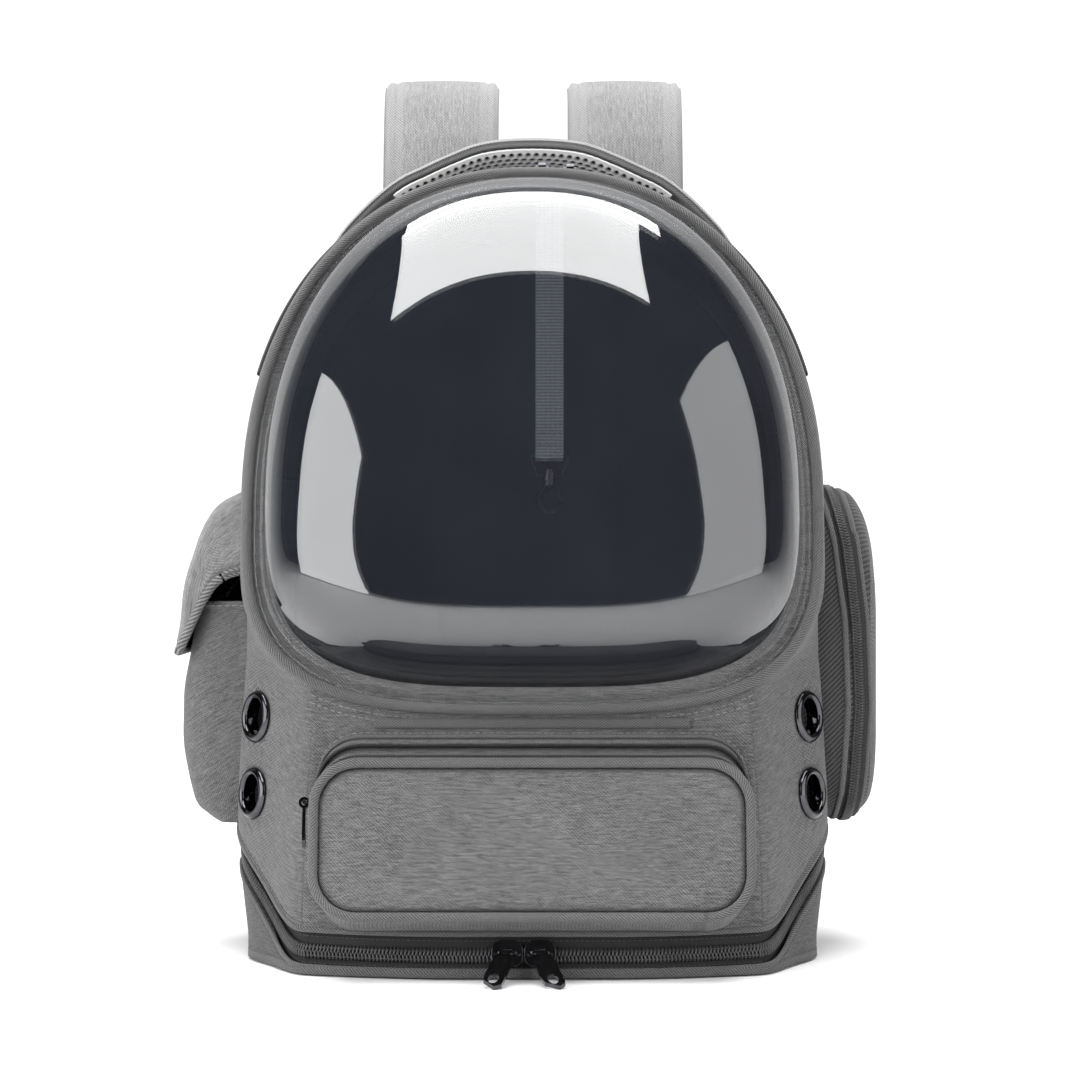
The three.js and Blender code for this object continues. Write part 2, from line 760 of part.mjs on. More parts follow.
// Its profile from the body's side to the tip: shares of the reach and the drop.
const flapRows = [
  [-0.6, 0], [0, 0], [0.38, 0.09], [0.56, 0.19], [0.66, 0.28], [0.74, 0.38], [0.82, 0.48],
  [0.88, 0.57], [0.92, 0.67], [0.94, 0.77], [0.96, 0.86], [0.99, 0.95], [1, 1],
];
// The lower edge of its ends, from the tip back to the body's side.
const flapEndRows = [[0.98, 1], [0.6, 0.66], [0.42, 0.555], [0.12, 0.49], [-0.6, 0.47]];

// A line of [x, z] points moved to the right of its run.
function offsetLine(points, distance) {
  return points.map(([x, z], i) => {
    const [ax, az] = points[Math.max(i - 1, 0)];
    const [bx, bz] = points[Math.min(i + 1, points.length - 1)];
    const reach = distance / Math.hypot(bx - ax, bz - az);
    return [x + (bz - az) * reach, z - (bx - ax) * reach];
  });
}

const flapPoint = ([out, down]) => [
  -(body.halfWidth - 5 + out * flap.reach), flap.top - down * flap.drop,
];

function buildFlap(outerBody) {
  const { thickness, overhang, cord } = flap;
  const [low, high] = [pocketSide.front - overhang, pocketSide.back + overhang];
  const upper = flapRows.map(flapPoint);
  const form = prismAlongY([...upper, ...flapEndRows.map(flapPoint)], low, high);
  const hollowRim = offsetLine(upper, -thickness);
  const [tipX, tipZ] = hollowRim.at(-1);
  const hollow = prismAlongY(
    [...hollowRim, [tipX, tipZ - 20], [-100, tipZ - 20], [-100, hollowRim[0][1]]],
    low + thickness, high - thickness,
  );
  const gap = cord + clearance + 0.2;
  const edge = offsetLine(flapEndRows.slice(0, -1).map(flapPoint), gap);
  edge[0] = [edge[0][0] - 0.4 * gap, edge[0][1] - 0.9 * gap];
  const at = (y) => edge.map(([x, z]) => new THREE.Vector3(x, y, z));
  const [front, rear] = [low + thickness / 2, high - thickness / 2];
  const path = [...at(front).reverse(), ...at(rear)];
  const outward = path.map(() => new THREE.Vector3(-1, 0, -0.6));
  const corded = band(path, outward, roundSection(cord, cord, 6));
  return {
    cloth: form.subtract(hollow).subtract(outerBody),
    cord: solidOf(corded).subtract(outerBody),
  };
}

// Zip hardware

// Slider in its own frame: x along the zip, z out of the tape. It straddles the coil.
function sliderSolid({ coil, rise, slider }, { across = false, slack = 0, plain = false } = {}) {
  const { length, width, plate, bailLength, bailWire, bailHeight } = slider;
  const roof = rise + 2 * clearance;
  const top = roof + plate;
  const outline = roundedOutline(-length / 2, length / 2, -width / 2, width / 2, width * 0.36, 3)
    .map(([x, y]) => new THREE.Vector2(x, y));
  const block = new THREE.ExtrudeGeometry(
    new THREE.Shape(outline), { depth: top - clearance, bevelEnabled: false },
  );
  const half = coil / 2 + clearance + slack;
  const channel = boxSolid(
    new THREE.Vector3(-length, -half, -1), new THREE.Vector3(length, half, roof),
  );
  const housing = solidOf(block.translate(0, 0, clearance)).subtract(channel);
  if (plain) return housing;
  const bar = top + bailHeight;
  const reach = bailLength / 2;
  const bend = 1.4;
  const path = [
    [-reach, top - 1], [-reach, bar - bend], [-reach + bend, bar],
    [reach - bend, bar], [reach, bar - bend], [reach, top - 1],
  ].map(([x, z]) => (across ? new THREE.Vector3(0, x, z) : new THREE.Vector3(x, 0, z)));
  const side = across ? new THREE.Vector3(1, 0, 0) : new THREE.Vector3(0, 1, 0);
  return housing.add(solidOf(band(path, path.map(() => side), roundSection(bailWire, bailWire, 6))));
}

const bailHeightOf = ({ rise, slider }) => rise + 2 * clearance + slider.plate + slider.bailHeight;

// Pull in its own frame: it turns about x and points along y. Its tip may lean sideways.
function pullSolid({ slider, pull }, lean) {
  const { length, width, head, thickness } = pull;
  const bore = slider.bailWire + 0.5;
  const rim = bore + 1.4;
  const ring = new THREE.LatheGeometry(
    [[bore, -head / 2], [rim, -head / 2], [rim, head / 2], [bore, head / 2], [bore, -head / 2]]
      .map(([r, x]) => new THREE.Vector2(r, x)), 16,
  ).rotateZ(Math.PI / 2);
  const [start, neck, half] = [bore + 0.3, head * 0.42, width / 2];
  const plate = new THREE.Shape([
    [-neck, start], [neck, start], [half * 0.9, rim + 3], [half, length * 0.72],
    [half * 0.96, length - half * 0.5], [half * 0.35, length], [-half * 0.85, length - half * 0.9],
    [-half, length * 0.72], [-half * 0.9, rim + 3],
  ].map(([x, y]) => new THREE.Vector2(x, y)));
  const eye = new THREE.Path();
  eye.absellipse(0, length - half * 1.35, half * 0.5, half * 0.85, 0, 2 * Math.PI);
  plate.holes.push(new THREE.Path(eye.getPoints(6).slice(0, -1)));
  const blade = new THREE.ExtrudeGeometry(plate, { depth: thickness, bevelEnabled: false })
    .translate(0, 0, -thickness / 2);
  const leant = moved(solidOf(blade), new THREE.Matrix4().makeRotationZ(lean));
  const hollow = solidOf(new THREE.CylinderGeometry(bore, bore, 30, 16).rotateZ(Math.PI / 2));
  return leant.subtract(hollow).add(solidOf(ring));
}

// The pull on its slider's bail, turned about the bail by an angle.
function pullPlace(zip, place, angle, across = false) {
  const matrix = place.clone()
    .multiply(new THREE.Matrix4().makeTranslation(0, 0, bailHeightOf(zip)));
  if (across) matrix.multiply(new THREE.Matrix4().makeRotationZ(-Math.PI / 2));
  return matrix.multiply(new THREE.Matrix4().makeRotationX(angle));
}

// The largest turn from start towards end at which the pull still clears what it settles on.
function settledPull(zip, place, start, end, lean, clears) {
  const pull = pullSolid(zip, lean);
  let [good, bad] = [start, end];
  for (let i = 0; i < 12; i++) {
    const angle = (good + bad) / 2;
    if (clears(moved(pull, pullPlace(zip, place, angle)))) good = angle;
    else bad = angle;
  }
  return moved(pull, pullPlace(zip, place, good));
}

function baseZipPlace(x) {
  const height = zipLine.front;
  const origin = new THREE.Vector3(x, frontY(height) + wall + clearance, height);
  return frameAt(
    origin, new THREE.Vector3(1, 0, 0),
    new THREE.Vector3(0, -Math.cos(body.rake), Math.sin(body.rake)),
  );
}

// Handle

function handleBand(section, reach) {
  const { middle, halfSpan, crown, root, lean } = handle;
  // Heights of the handle's middle line, as shares of its rise, at shares of its half span.
  const rows = [[0, 1], [0.24, 0.965], [0.385, 0.875], [0.53, 0.76], [0.63, 0.675],
    [0.75, 0.51], [0.865, 0.3], [0.95, 0.1], [1, 0]];
  const right = rows.map(([x, z]) => new THREE.Vector3(x * halfSpan, middle, mix(root, crown, z)));
  const left = right.slice(1).reverse().map((p) => new THREE.Vector3(-p.x, p.y, p.z));
  const path = smooth([...left, ...right], 26).filter((p) => Math.abs(p.x) < reach + 1);
  return band(path, path.map(() => new THREE.Vector3(0, Math.sin(lean), Math.cos(lean))), section);
}

function buildHandle(outerBody) {
  const { width, thickness, lining, halfSpan, liningSpan } = handle;
  const [low, high] = [-thickness / 2, thickness / 2];
  return {
    top: solidOf(handleBand(flatSection(low + lining + 1.5 * clearance, high, width / 2, 2), halfSpan))
      .subtract(outerBody),
    lining: solidOf(handleBand(flatSection(low, low + lining, width / 2 - 2, 1), liningSpan))
      .subtract(outerBody),
  };
}

// Shoulder straps, behind the back

function strapPath(side) {
  const { at, thickness, root, crest, foot, reach } = strap;
  const seat = body.back + clearance + thickness / 2;
  const rows = [
    [0, seat, root], [0, seat, mix(root, crest, 0.26)], [0, seat + 1, mix(root, crest, 0.5)],
    [0, mix(seat, reach, 0.13), mix(root, crest, 0.78)],
    [0, mix(seat, reach, 0.33), mix(root, crest, 0.955)],
    [0, mix(seat, reach, 0.58), crest],
    [0.5, mix(seat, reach, 0.8), mix(root, crest, 0.93)],
    [1, mix(seat, reach, 0.95), mix(root, crest, 0.72)],
    [2, reach, mix(root, crest, 0.42)], [4, reach - 1, mix(foot, root, 0.8)],
    [7, reach - 7, mix(foot, root, 0.4)],
    [11, reach - 15, foot + 14], [11, reach - 15, foot],
  ];
  return smooth(rows.map(([out, y, z]) => new THREE.Vector3(side * (at + out), y, z)), 26);
}

function buildStrap(side) {
  const path = strapPath(side);
  const outward = path.map((p, i) => {
    const along = path[Math.min(i + 1, path.length - 1)].clone().sub(path[Math.max(i - 1, 0)]);
    return new THREE.Vector3(side, 0, 0).cross(along).multiplyScalar(side);
  });
  const section = (share) => {
    const taper = THREE.MathUtils.smoothstep(share, 0.82, 0.98);
    return flatSection(
      -strap.thickness / 2, strap.thickness / 2, mix(strap.width, adjuster.width, taper) / 2, 2.5,
    );
  };
  return solidOf(band(path, outward, section));
}

const adjusterGap = 2 * clearance;

function buildAdjuster(side) {
  const end = strapPath(side).at(-1);
  const { width, height, thickness } = adjuster;
  const block = boxSolid(
    new THREE.Vector3(-width / 2, -thickness / 2, -height),
    new THREE.Vector3(width / 2, thickness / 2, 0),
  );
  return moved(block, new THREE.Matrix4().makeTranslation(end.x, end.y, end.z - adjusterGap));
}

function buildWebbing(side, outerBody) {
  const end = strapPath(side).at(-1);
  const seat = body.back + clearance + webbing.thickness / 2;
  const top = end.z - adjuster.height - 2 * adjusterGap;
  const { anchorAt, anchorFoot } = webbing;
  // From the adjuster to the anchor: shares of the way across, in and down.
  const rows = [[0, 1, 1], [0.3, 0.8, 0.7], [0.75, 0.35, 0.42], [1, 0, 0.2]];
  const [head, ...rest] = rows.map(([across, out, up]) => new THREE.Vector3(
    side * mix(Math.abs(end.x), anchorAt, across), mix(seat, end.y, out), mix(anchorFoot, top, up),
  ));
  const path = smooth([
    head.clone().setZ(top - 4 * clearance),
    head.clone().setZ(top - 12),
    ...rest,
    new THREE.Vector3(side * (anchorAt + 2), seat, anchorFoot),
  ], 20);
  const half = webbing.thickness / 2;
  const outward = path.map(() => new THREE.Vector3(0, 1, 0));
  return solidOf(band(path, outward, flatSection(-half, half, webbing.width / 2)))
    .subtract(outerBody);
}

// Tether inside the cabin

function buildTetherStrap() {
  const { at, depth, width, thickness, fold, doubled } = tether;
  const half = thickness / 2;
  const loopRadius = hook.wire + 0.3 + half;
  const bar = fold + half + loopRadius;
  const path = [
    new THREE.Vector3(at, depth, body.crownFront),
    new THREE.Vector3(at, depth, mix(bar, body.crownFront, 0.5)),
    new THREE.Vector3(at, depth, bar + loopRadius * 2.2),
  ];
  for (let i = 0; i <= 8; i++) {
    const a = Math.PI + (i / 8) * Math.PI;
    path.push(new THREE.Vector3(
      at, depth + half + 0.15 + loopRadius * Math.cos(a), bar + loopRadius * Math.sin(a),
    ));
  }
  path.push(
    new THREE.Vector3(at, depth + thickness + 0.3, bar + loopRadius * 2.2),
    new THREE.Vector3(at, depth + thickness + 0.3, doubled),
  );
  const outward = path.map((p, i) => {
    const along = path[Math.min(i + 1, path.length - 1)].clone().sub(path[Math.max(i - 1, 0)]);
    return new THREE.Vector3(1, 0, 0).cross(along);
  });
  return solidOf(band(path, outward, flatSection(-half, half, width / 2)))
    .intersect(bodySolid(wall + clearance));
}

const tetherBar = () => new THREE.Vector3(
  tether.at,
  tether.depth + tether.thickness / 2 + 0.15,
  tether.fold + tether.thickness + hook.wire + 0.3,
);

// The eye that hangs in the webbing's fold, with the collar that the hook turns in.
function buildTetherEye() {
  const { wire, eyeWidth, eyeFoot, collar, collarHeight } = hook;
  const bar = tetherBar();
  const [half, drop] = [eyeWidth / 2, eyeFoot - bar.z];
  const path = [
    [-half, -3], [-half, -1], [-half + 1.5, 0], [half - 1.5, 0], [half, -1], [half, -3],
    [half - 3, drop], [-half + 3, drop],
  ].map(([x, z]) => new THREE.Vector3(bar.x + x, bar.y, bar.z + z));
  const frame = solidOf(band(
    path, path.map(() => new THREE.Vector3(0, 1, 0)), roundSection(wire, wire, 8), { closed: true },
  ));
  const upright = (radius, height) => solidOf(
    new THREE.CylinderGeometry(radius, radius, height, 12).rotateX(Math.PI / 2),
  );
  const at = new THREE.Matrix4().makeTranslation(bar.x, bar.y, eyeFoot);
  return frame.add(moved(upright(collar, collarHeight), at))
    .subtract(moved(upright(wire + clearance, 5 * collarHeight), at));
}

function buildTetherHook() {
  const { wire, eyeFoot, foot, reach, collarHeight } = hook;
  const bar = tetherBar();
  const head = eyeFoot + collarHeight / 2 + clearance;
  const shank = eyeFoot - collarHeight / 2 - clearance;
  const profile = [
    [0, head + 1.5], [wire + 1, head + 1.5], [wire + 1, head], [wire, head], [wire, shank],
    [3.2, shank], [3.2, shank - 2.5], [wire, shank - 4], [0, shank - 4],
  ].map(([r, z]) => new THREE.Vector2(r, z));
  const post = new THREE.LatheGeometry(profile, 12).rotateX(Math.PI / 2);
  const top = shank - 3;
  const path = smooth([
    [0, top], [-0.6 * reach, top - 2], [-reach, mix(top, foot, 0.4)], [-0.75 * reach, mix(top, foot, 0.8)],
    [0, foot], [0.75 * reach, mix(foot, top, 0.14)], [reach, mix(foot, top, 0.36)],
  ].map(([x, z]) => new THREE.Vector3(x, 0, z)), 10);
  const bow = band(path, path.map(() => new THREE.Vector3(0, 1, 0)), roundSection(wire, wire, 8));
  const at = new THREE.Matrix4().makeTranslation(bar.x, bar.y, 0);
  return moved(solidOf(post).add(solidOf(bow)), at);
}

// The gate that closes the hook, from its pin beside the shank to the hook's tip.
function buildTetherGate() {
  const { wire, eyeFoot, foot, reach, gate, gatePin } = hook;
  const bar = tetherBar();
  const top = eyeFoot - 5.5;
  const pin = [gatePin, top];
  const tip = [reach, mix(foot, top, 0.36) + wire + 2 * clearance];
  const path = [pin, [mix(pin[0], tip[0], 0.5), mix(pin[1], tip[1], 0.5)], tip]
    .map(([x, z]) => new THREE.Vector3(bar.x + x, bar.y, z));
  const outward = path.map(() => new THREE.Vector3(0, 1, 0));
  return solidOf(band(path, outward, roundSection(gate, 0.8 * gate, 8)));
}

// Assembly

const fabric = { color: 0x7d7d7d, roughness: 0.95 };
const darkFabric = { color: 0x3c3c3c, roughness: 0.9 };
const metal = { color: 0x24242a, roughness: 0.22, metalness: 0.9 };
const plastic = { color: 0x161616, roughness: 0.5 };
const strapFabric = { color: 0xa8a8a8, roughness: 0.95 };
const smoked = { color: 0x1c2028, roughness: 0.05, transparent: true, opacity: 0.6 };

const backpack = new THREE.Group();
const frontGroup = new THREE.Group();
frontGroup.applyMatrix4(frontFrame);
backpack.add(frontGroup);

function addPart(parent, name, shape, look) {
  const solid = shape.isBufferGeometry ? solidOf(shape) : shape;
  const mesh = new THREE.Mesh(geometryOf(solid), new THREE.MeshStandardMaterial(look));
  mesh.name = name;
  parent.add(mesh);
}

const outerBody = bodySolid(-clearance);
const panels = buildPanels();
for (const name in panels) addPart(backpack, name, panels[name], fabric);
addPart(backpack, "base_binding", buildBinding(), fabric);

addPart(frontGroup, "bubble", buildBubble(), smoked);
addPart(frontGroup, "bubble_piping", buildPiping(), fabric);
addPart(backpack, "front_welt", buildWelt(), fabric);

const frontPocket = buildFrontPocket(outerBody);
addPart(backpack, "front_pocket_gusset", frontPocket.gusset, fabric);
addPart(backpack, "front_pocket_zip", frontPocket.zip, darkFabric);
addPart(frontGroup, "front_pocket_face", frontPocket.face, fabric);
addPart(frontGroup, "front_pocket_piping", frontPocket.piped, fabric);
const pocketZipPlace = frontPocketZipPlace();
addPart(
  frontGroup, "front_pocket_slider",
  moved(sliderSolid(smallZip, { across: true }), pocketZipPlace), metal,
);
addPart(
  frontGroup, "front_pocket_pull",
  moved(pullSolid(smallZip, 0), pullPlace(smallZip, pocketZipPlace, 0, true)), metal,
);

const zipPocketParts = buildZipPocket(outerBody);
addPart(backpack, "side_pocket_left", buildPouch(outerBody), fabric);
addPart(backpack, "side_pocket_right", zipPocketParts.pocket, fabric);
addPart(backpack, "side_pocket_right_zip", zipPocketParts.zip, darkFabric);
addPart(
  backpack, "side_pocket_right_slider",
  moved(sliderSolid(smallZip, { plain: true }), zipPocketZipPlace()), metal,
);

const flapParts = buildFlap(outerBody);
addPart(backpack, "side_flap_left", flapParts.cloth, fabric);
addPart(backpack, "side_flap_left_binding", flapParts.cord, fabric);

const baseZip = buildBaseZip();
addPart(backpack, "base_zip_tape", baseZip.tape, darkFabric);
addPart(backpack, "base_zip_coil", baseZip.coil, darkFabric);
const onFloor = (solid) => solid.boundingBox().min[2] > 0.02;
["left", "right"].forEach((side, i) => {
  const place = baseZipPlace(baseSliders[i]);
  const slider = sliderSolid(largeZip, { slack: 0.8 });
  addPart(backpack, `base_slider_${side}`, moved(slider, place), metal);
  const level = Math.PI / 2 + body.rake;
  const lean = (i ? -1 : 1) * baseLean;
  const pull = settledPull(largeZip, place, level, level + 0.8, lean, onFloor);
  addPart(backpack, `base_pull_${side}`, pull, metal);
});

const topZipParts = buildTopZip();
addPart(backpack, "top_zip_tape", topZipParts.tape, darkFabric);
addPart(backpack, "top_zip_coil", topZipParts.coil, darkFabric);
const offPanel = (solid) => solid.intersect(outerBody).volume() < 1e-6;
["left", "right"].forEach((side, i) => {
  const place = topZipPlace(topZip.sliders[i]);
  addPart(backpack, `top_slider_${side}`, moved(sliderSolid(smallZip, { slack: 1 }), place), metal);
  addPart(backpack, `top_pull_${side}`, settledPull(smallZip, place, 0, -0.6, 0, offPanel), metal);
});

eyeletPlaces().forEach((place, i) => {
  const name = ["left_upper", "left_lower", "right_upper", "right_lower"][i];
  addPart(backpack, `eyelet_${name}`, moved(solidOf(eyeletGeometry()), place), metal);
});

const handleParts = buildHandle(outerBody);
addPart(backpack, "carry_handle", handleParts.top, strapFabric);
addPart(backpack, "carry_handle_lining", handleParts.lining, fabric);

for (const [name, side] of [["left", -1], ["right", 1]]) {
  addPart(backpack, `shoulder_strap_${name}`, buildStrap(side), strapFabric);
  addPart(backpack, `strap_adjuster_${name}`, buildAdjuster(side), plastic);
  addPart(backpack, `strap_webbing_${name}`, buildWebbing(side, outerBody), darkFabric);
}

addPart(backpack, "tether_strap", buildTetherStrap(), darkFabric);
addPart(backpack, "tether_eye", buildTetherEye(), metal);
addPart(backpack, "tether_hook", buildTetherHook(), metal);
addPart(backpack, "tether_gate", buildTetherGate(), metal);

export default backpack;
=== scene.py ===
import json
import math
import random
from bisect import bisect_left

import bmesh
import bpy
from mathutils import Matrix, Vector

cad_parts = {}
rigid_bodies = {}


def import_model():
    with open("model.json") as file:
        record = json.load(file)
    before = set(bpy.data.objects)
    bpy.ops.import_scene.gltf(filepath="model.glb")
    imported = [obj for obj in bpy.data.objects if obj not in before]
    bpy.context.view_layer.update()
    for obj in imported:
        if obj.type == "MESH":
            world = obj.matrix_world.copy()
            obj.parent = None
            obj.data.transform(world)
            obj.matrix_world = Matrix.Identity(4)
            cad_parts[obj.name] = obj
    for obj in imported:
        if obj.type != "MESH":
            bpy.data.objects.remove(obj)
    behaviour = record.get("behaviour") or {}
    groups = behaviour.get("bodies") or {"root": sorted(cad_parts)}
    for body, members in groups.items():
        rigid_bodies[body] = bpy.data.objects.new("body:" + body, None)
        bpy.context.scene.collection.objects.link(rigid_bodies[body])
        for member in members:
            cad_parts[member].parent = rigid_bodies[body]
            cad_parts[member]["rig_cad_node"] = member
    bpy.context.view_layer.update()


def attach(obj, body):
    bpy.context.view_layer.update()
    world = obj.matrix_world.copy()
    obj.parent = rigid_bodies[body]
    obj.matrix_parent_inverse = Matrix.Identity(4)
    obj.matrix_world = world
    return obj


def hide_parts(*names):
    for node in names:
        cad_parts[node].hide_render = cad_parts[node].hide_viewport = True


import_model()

# A bubble pet carrier backpack: cloth, window, zips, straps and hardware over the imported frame.
# The sizes are those of the CAD part, in millimetres until a mesh is made.
MM = 0.001
BODY = "carrier"

# ---------------------------------------------------------------- small maths


def mix(a, b, t):
    return a + (b - a) * t


def clamp(t, low=0.0, high=1.0):
    return max(low, min(high, t))


def ease(low, high, value):
    t = clamp((value - low) / (high - low))
    return t * t * (3 - 2 * t)


def spaced(low, high, count):
    return [mix(low, high, i / (count - 1)) for i in range(count)]


def catmull(p0, p1, p2, p3, t):
    """Centripetal Catmull-Rom from p1 to p2."""
    d0, d1, d2 = (max((b - a).length ** 0.5, 1e-4) for a, b in ((p0, p1), (p1, p2), (p2, p3)))
    m1 = ((p1 - p0) / d0 - (p2 - p0) / (d0 + d1) + (p2 - p1) / d1) * d1
    m2 = ((p2 - p1) / d1 - (p3 - p1) / (d1 + d2) + (p3 - p2) / d2) * d1
    a, b = 2 * t**3 - 3 * t * t + 1, t**3 - 2 * t * t + t
    c, d = -2 * t**3 + 3 * t * t, t**3 - t * t
    return p1 * a + m1 * b + p2 * c + m2 * d


def spline(points, per_segment=12):
    """A smooth line through the points, with as many steps on each stretch."""
    pts = [Vector(p) for p in points]
    ends = [pts[0] * 2 - pts[1], *pts, pts[-1] * 2 - pts[-2]]
    out = [
        catmull(*ends[i:i + 4], k / per_segment) for i in range(len(pts) - 1) for k in range(per_segment)
    ]
    return out + [pts[-1].copy()]


def length_of(line):
    return sum((b - a).length for a, b in zip(line, line[1:]))


def between(table, value):
    """The two rows of a rising table that hold a value, and how far it lies between them."""
    k = bisect_left(table, value, key=lambda row: row[0]) - 1
    a, b = table[max(0, min(k, len(table) - 2)):][:2]
    return a, b, clamp((value - a[0]) / (b[0] - a[0]))


def lookup(table, value):
    a, b, t = between(table, value)
    return mix(a[1], b[1], t)


def settle(height_at):
    """The height that a rule gives back when it is given that height."""
    height = 30.0
    for _ in range(14):
        height = mix(height, height_at(height), 0.8)
    return height


def resample(points, step, closed=False, others=None):
    """Points an equal distance apart on a line, with any other lists carried along."""
    ring = list(points) + ([points[0]] if closed else [])
    extra = [list(o) + ([o[0]] if closed else []) for o in (others or [])]
    lengths = [0.0]
    for a, b in zip(ring, ring[1:]):
        lengths.append(lengths[-1] + (b - a).length)
    count = max(2, round(lengths[-1] / step))
    out, carried = [], [[] for _ in extra]
    k = 0
    for i in range(count if closed else count + 1):
        at = lengths[-1] * i / count
        while k < len(lengths) - 2 and lengths[k + 1] < at:
            k += 1
        t = (at - lengths[k]) / max(lengths[k + 1] - lengths[k], 1e-9)
        out.append(ring[k].lerp(ring[k + 1], clamp(t)))
        for c, e in zip(carried, extra):
            c.append(e[k].lerp(e[k + 1], clamp(t)).normalized())
    return (out, *carried) if others else out


# ---------------------------------------------------------------- the body's form

HALF, FRONT, BACK = 155.0, -112.0, 108.0
RAKE = math.radians(13)
SPRING, CROWN_FRONT, CROWN_BACK, CROWN_LEVEL = 232.0, 408.0, 400.0, 30.0
ARCH, SPLAY, BOW = 2.27, 58.0, 16.0
FRONT_EDGE, BACK_EDGE, FOOT_EDGE, TOP_SEAM = 5.0, 15.0, 7.0, 20.0
SLOPE = 1 / math.cos(RAKE)
WALL = 3.2
# share of the spring's height, then half widths as shares: front, shoulder, flank, rear
ROWS = [
    (0.052, 0.77, 0.938, 0.957, 0.935),
    (0.302, 0.761, 0.974, 1.0, 0.968),
    (0.615, 0.745, 0.965, 0.99, 0.968),
    (0.7, 0.865, 0.965, 0.984, 0.965),
    (0.81, 0.946, 0.965, 0.977, 0.961),
    (1.0, 0.957, 0.966, 0.968, 0.958),
]
WAIST = ROWS[2][0] * SPRING


def row_table(steps=400):
    """ROWS drawn through smoothly, in millimetres."""
    table = []
    n = len(ROWS)
    for i in range(steps + 1):
        at = (n - 1) * i / steps
        k = min(int(at), n - 2)
        t = at - k
        p0, p1 = ROWS[max(k - 1, 0)], ROWS[k]
        p2, p3 = ROWS[k + 1], ROWS[min(k + 2, n - 1)]
        row = []
        for a, b, c, d in zip(p0, p1, p2, p3):
            v0, v1 = (c - a) / 2, (d - b) / 2
            cubic, square = 2 * b - 2 * c + v0 + v1, -3 * b + 3 * c - 2 * v0 - v1
            row.append(cubic * t**3 + square * t * t + v0 * t + b)
        table.append((row[0] * SPRING, *(w * HALF for w in row[1:])))
    return table


ROW_TABLE = row_table()


def row_at(height):
    """The half widths at a height."""
    a, b, t = between(ROW_TABLE, height)
    return tuple(mix(p, q, t) for p, q in zip(a[1:], b[1:]))


def front_y(z):
    return FRONT + z * math.tan(RAKE)


def bow_at(z):
    return BOW * max(0.0, 1 - z / WAIST)


def side_plan(row, height, inset=0.0):
    """Points of the right side's outline, from the front panel's edge round to the back panel's."""
    front = front_y(height) + inset
    bow = bow_at(height)
    back = BACK - inset
    f, s, k, r = (w - inset for w in row)
    side = front + bow + FRONT_EDGE
    shoulder = front + bow + SPLAY
    run = back - BACK_EDGE - shoulder
    return [
        (f - FRONT_EDGE, front + bow),
        (f, side),
        (mix(f, s, 0.5), mix(side, shoulder, 0.5)),
        (s, shoulder),
        (mix(s, k, 0.8), shoulder + 0.15 * run),
        (k, shoulder + 0.4 * run),
        (mix(k, r, 0.5), shoulder + 0.7 * run),
        (r, back - BACK_EDGE),
        (r - 0.3 * BACK_EDGE, back - 0.3 * BACK_EDGE),
        (r - BACK_EDGE, back),
    ]


PLAN_STRETCHES = 9
PLAN_CACHE = {}


def plan_point(row, height, u, inset=0.0):
    """A point of the side's outline: u counts its stretches."""
    key = (round(height, 3), round(row[0], 3), round(inset, 3))
    pts = PLAN_CACHE.get(key)
    if pts is None:
        pts = [Vector((x, y)) for x, y in side_plan(row, height, inset)]
        PLAN_CACHE[key] = pts
    k = min(int(u), PLAN_STRETCHES - 1)
    p0 = pts[k - 1] if k else pts[0] * 2 - pts[1]
    p3 = pts[k + 2] if k + 2 < len(pts) else pts[-1] * 2 - pts[-2]
    return catmull(p0, pts[k], pts[k + 1], p3, u - k)


def crown_height(y):
    start = front_y(CROWN_FRONT) + CROWN_LEVEL
    return mix(CROWN_FRONT, CROWN_BACK, clamp((y - start) / (BACK - start)))


def arch_table(steps=600):
    """Lengths along the arch, each with its angle."""
    table, last, length = [], None, 0.0
    for i in range(steps + 1):
        a = math.pi / 2 * i / steps
        x = 150 * max(math.cos(a), 0) ** (2 / ARCH)
        z = (CROWN_FRONT - SPRING) * math.sin(a) ** (2 / ARCH)
        if last:
            length += math.hypot(x - last[0], z - last[1])
        last = (x, z)
        table.append((length, a))
    return table


ARCH_TABLE = arch_table()
TOP_LEVEL = SPRING + ARCH_TABLE[-1][0]


def side_point(level, u, side=1, inset=0.0):
    """A point of the long strip that runs up one side and over the top.

    level is the height, and above the spring the distance along the arch. u goes from the front edge
    to the back edge.
    """
    if level <= SPRING:
        x, y = plan_point(row_at(level), level, u, inset)
        return Vector((side * x, y, level))
    angle = lookup(ARCH_TABLE, level - SPRING)
    up = math.sin(angle) ** (2 / ARCH)
    across = max(math.cos(angle), 0.0) ** (2 / ARCH)
    row = row_at(SPRING)
    x, y = plan_point(row, SPRING + (CROWN_FRONT - SPRING) * up, u, inset)
    drop = inset
    if u < 1:
        drop += max(0.0, row[0] - inset - x)
    elif u > 7:
        drop += max(0.0, row[3] - inset - x)
    return Vector((side * x * across, y, SPRING + (crown_height(y) - SPRING - drop) * up))


def side_normal(level, u, side=1):
    e = 0.02
    du = side_point(level, min(u + e, 9), side) - side_point(level, max(u - e, 0), side)
    dv = side_point(level + 0.8, u, side) - side_point(level - 0.8, u, side)
    return (du.cross(dv) * side).normalized()


def front_half(z):
    if z <= SPRING:
        return row_at(z)[0]
    share = clamp((z - SPRING) / (CROWN_FRONT - SPRING))
    return row_at(SPRING)[0] * max(1 - share**ARCH, 0) ** (1 / ARCH)


def front_point(x, z, lift=0.0):
    share = clamp((abs(x) / max(front_half(z), 1) - 0.35) / 0.605)
    y = front_y(z) + bow_at(z) * share**1.5
    return Vector((x, y - lift * math.cos(RAKE), z + lift * math.sin(RAKE)))


FRONT_OUT = Vector((0, -math.cos(RAKE), math.sin(RAKE)))


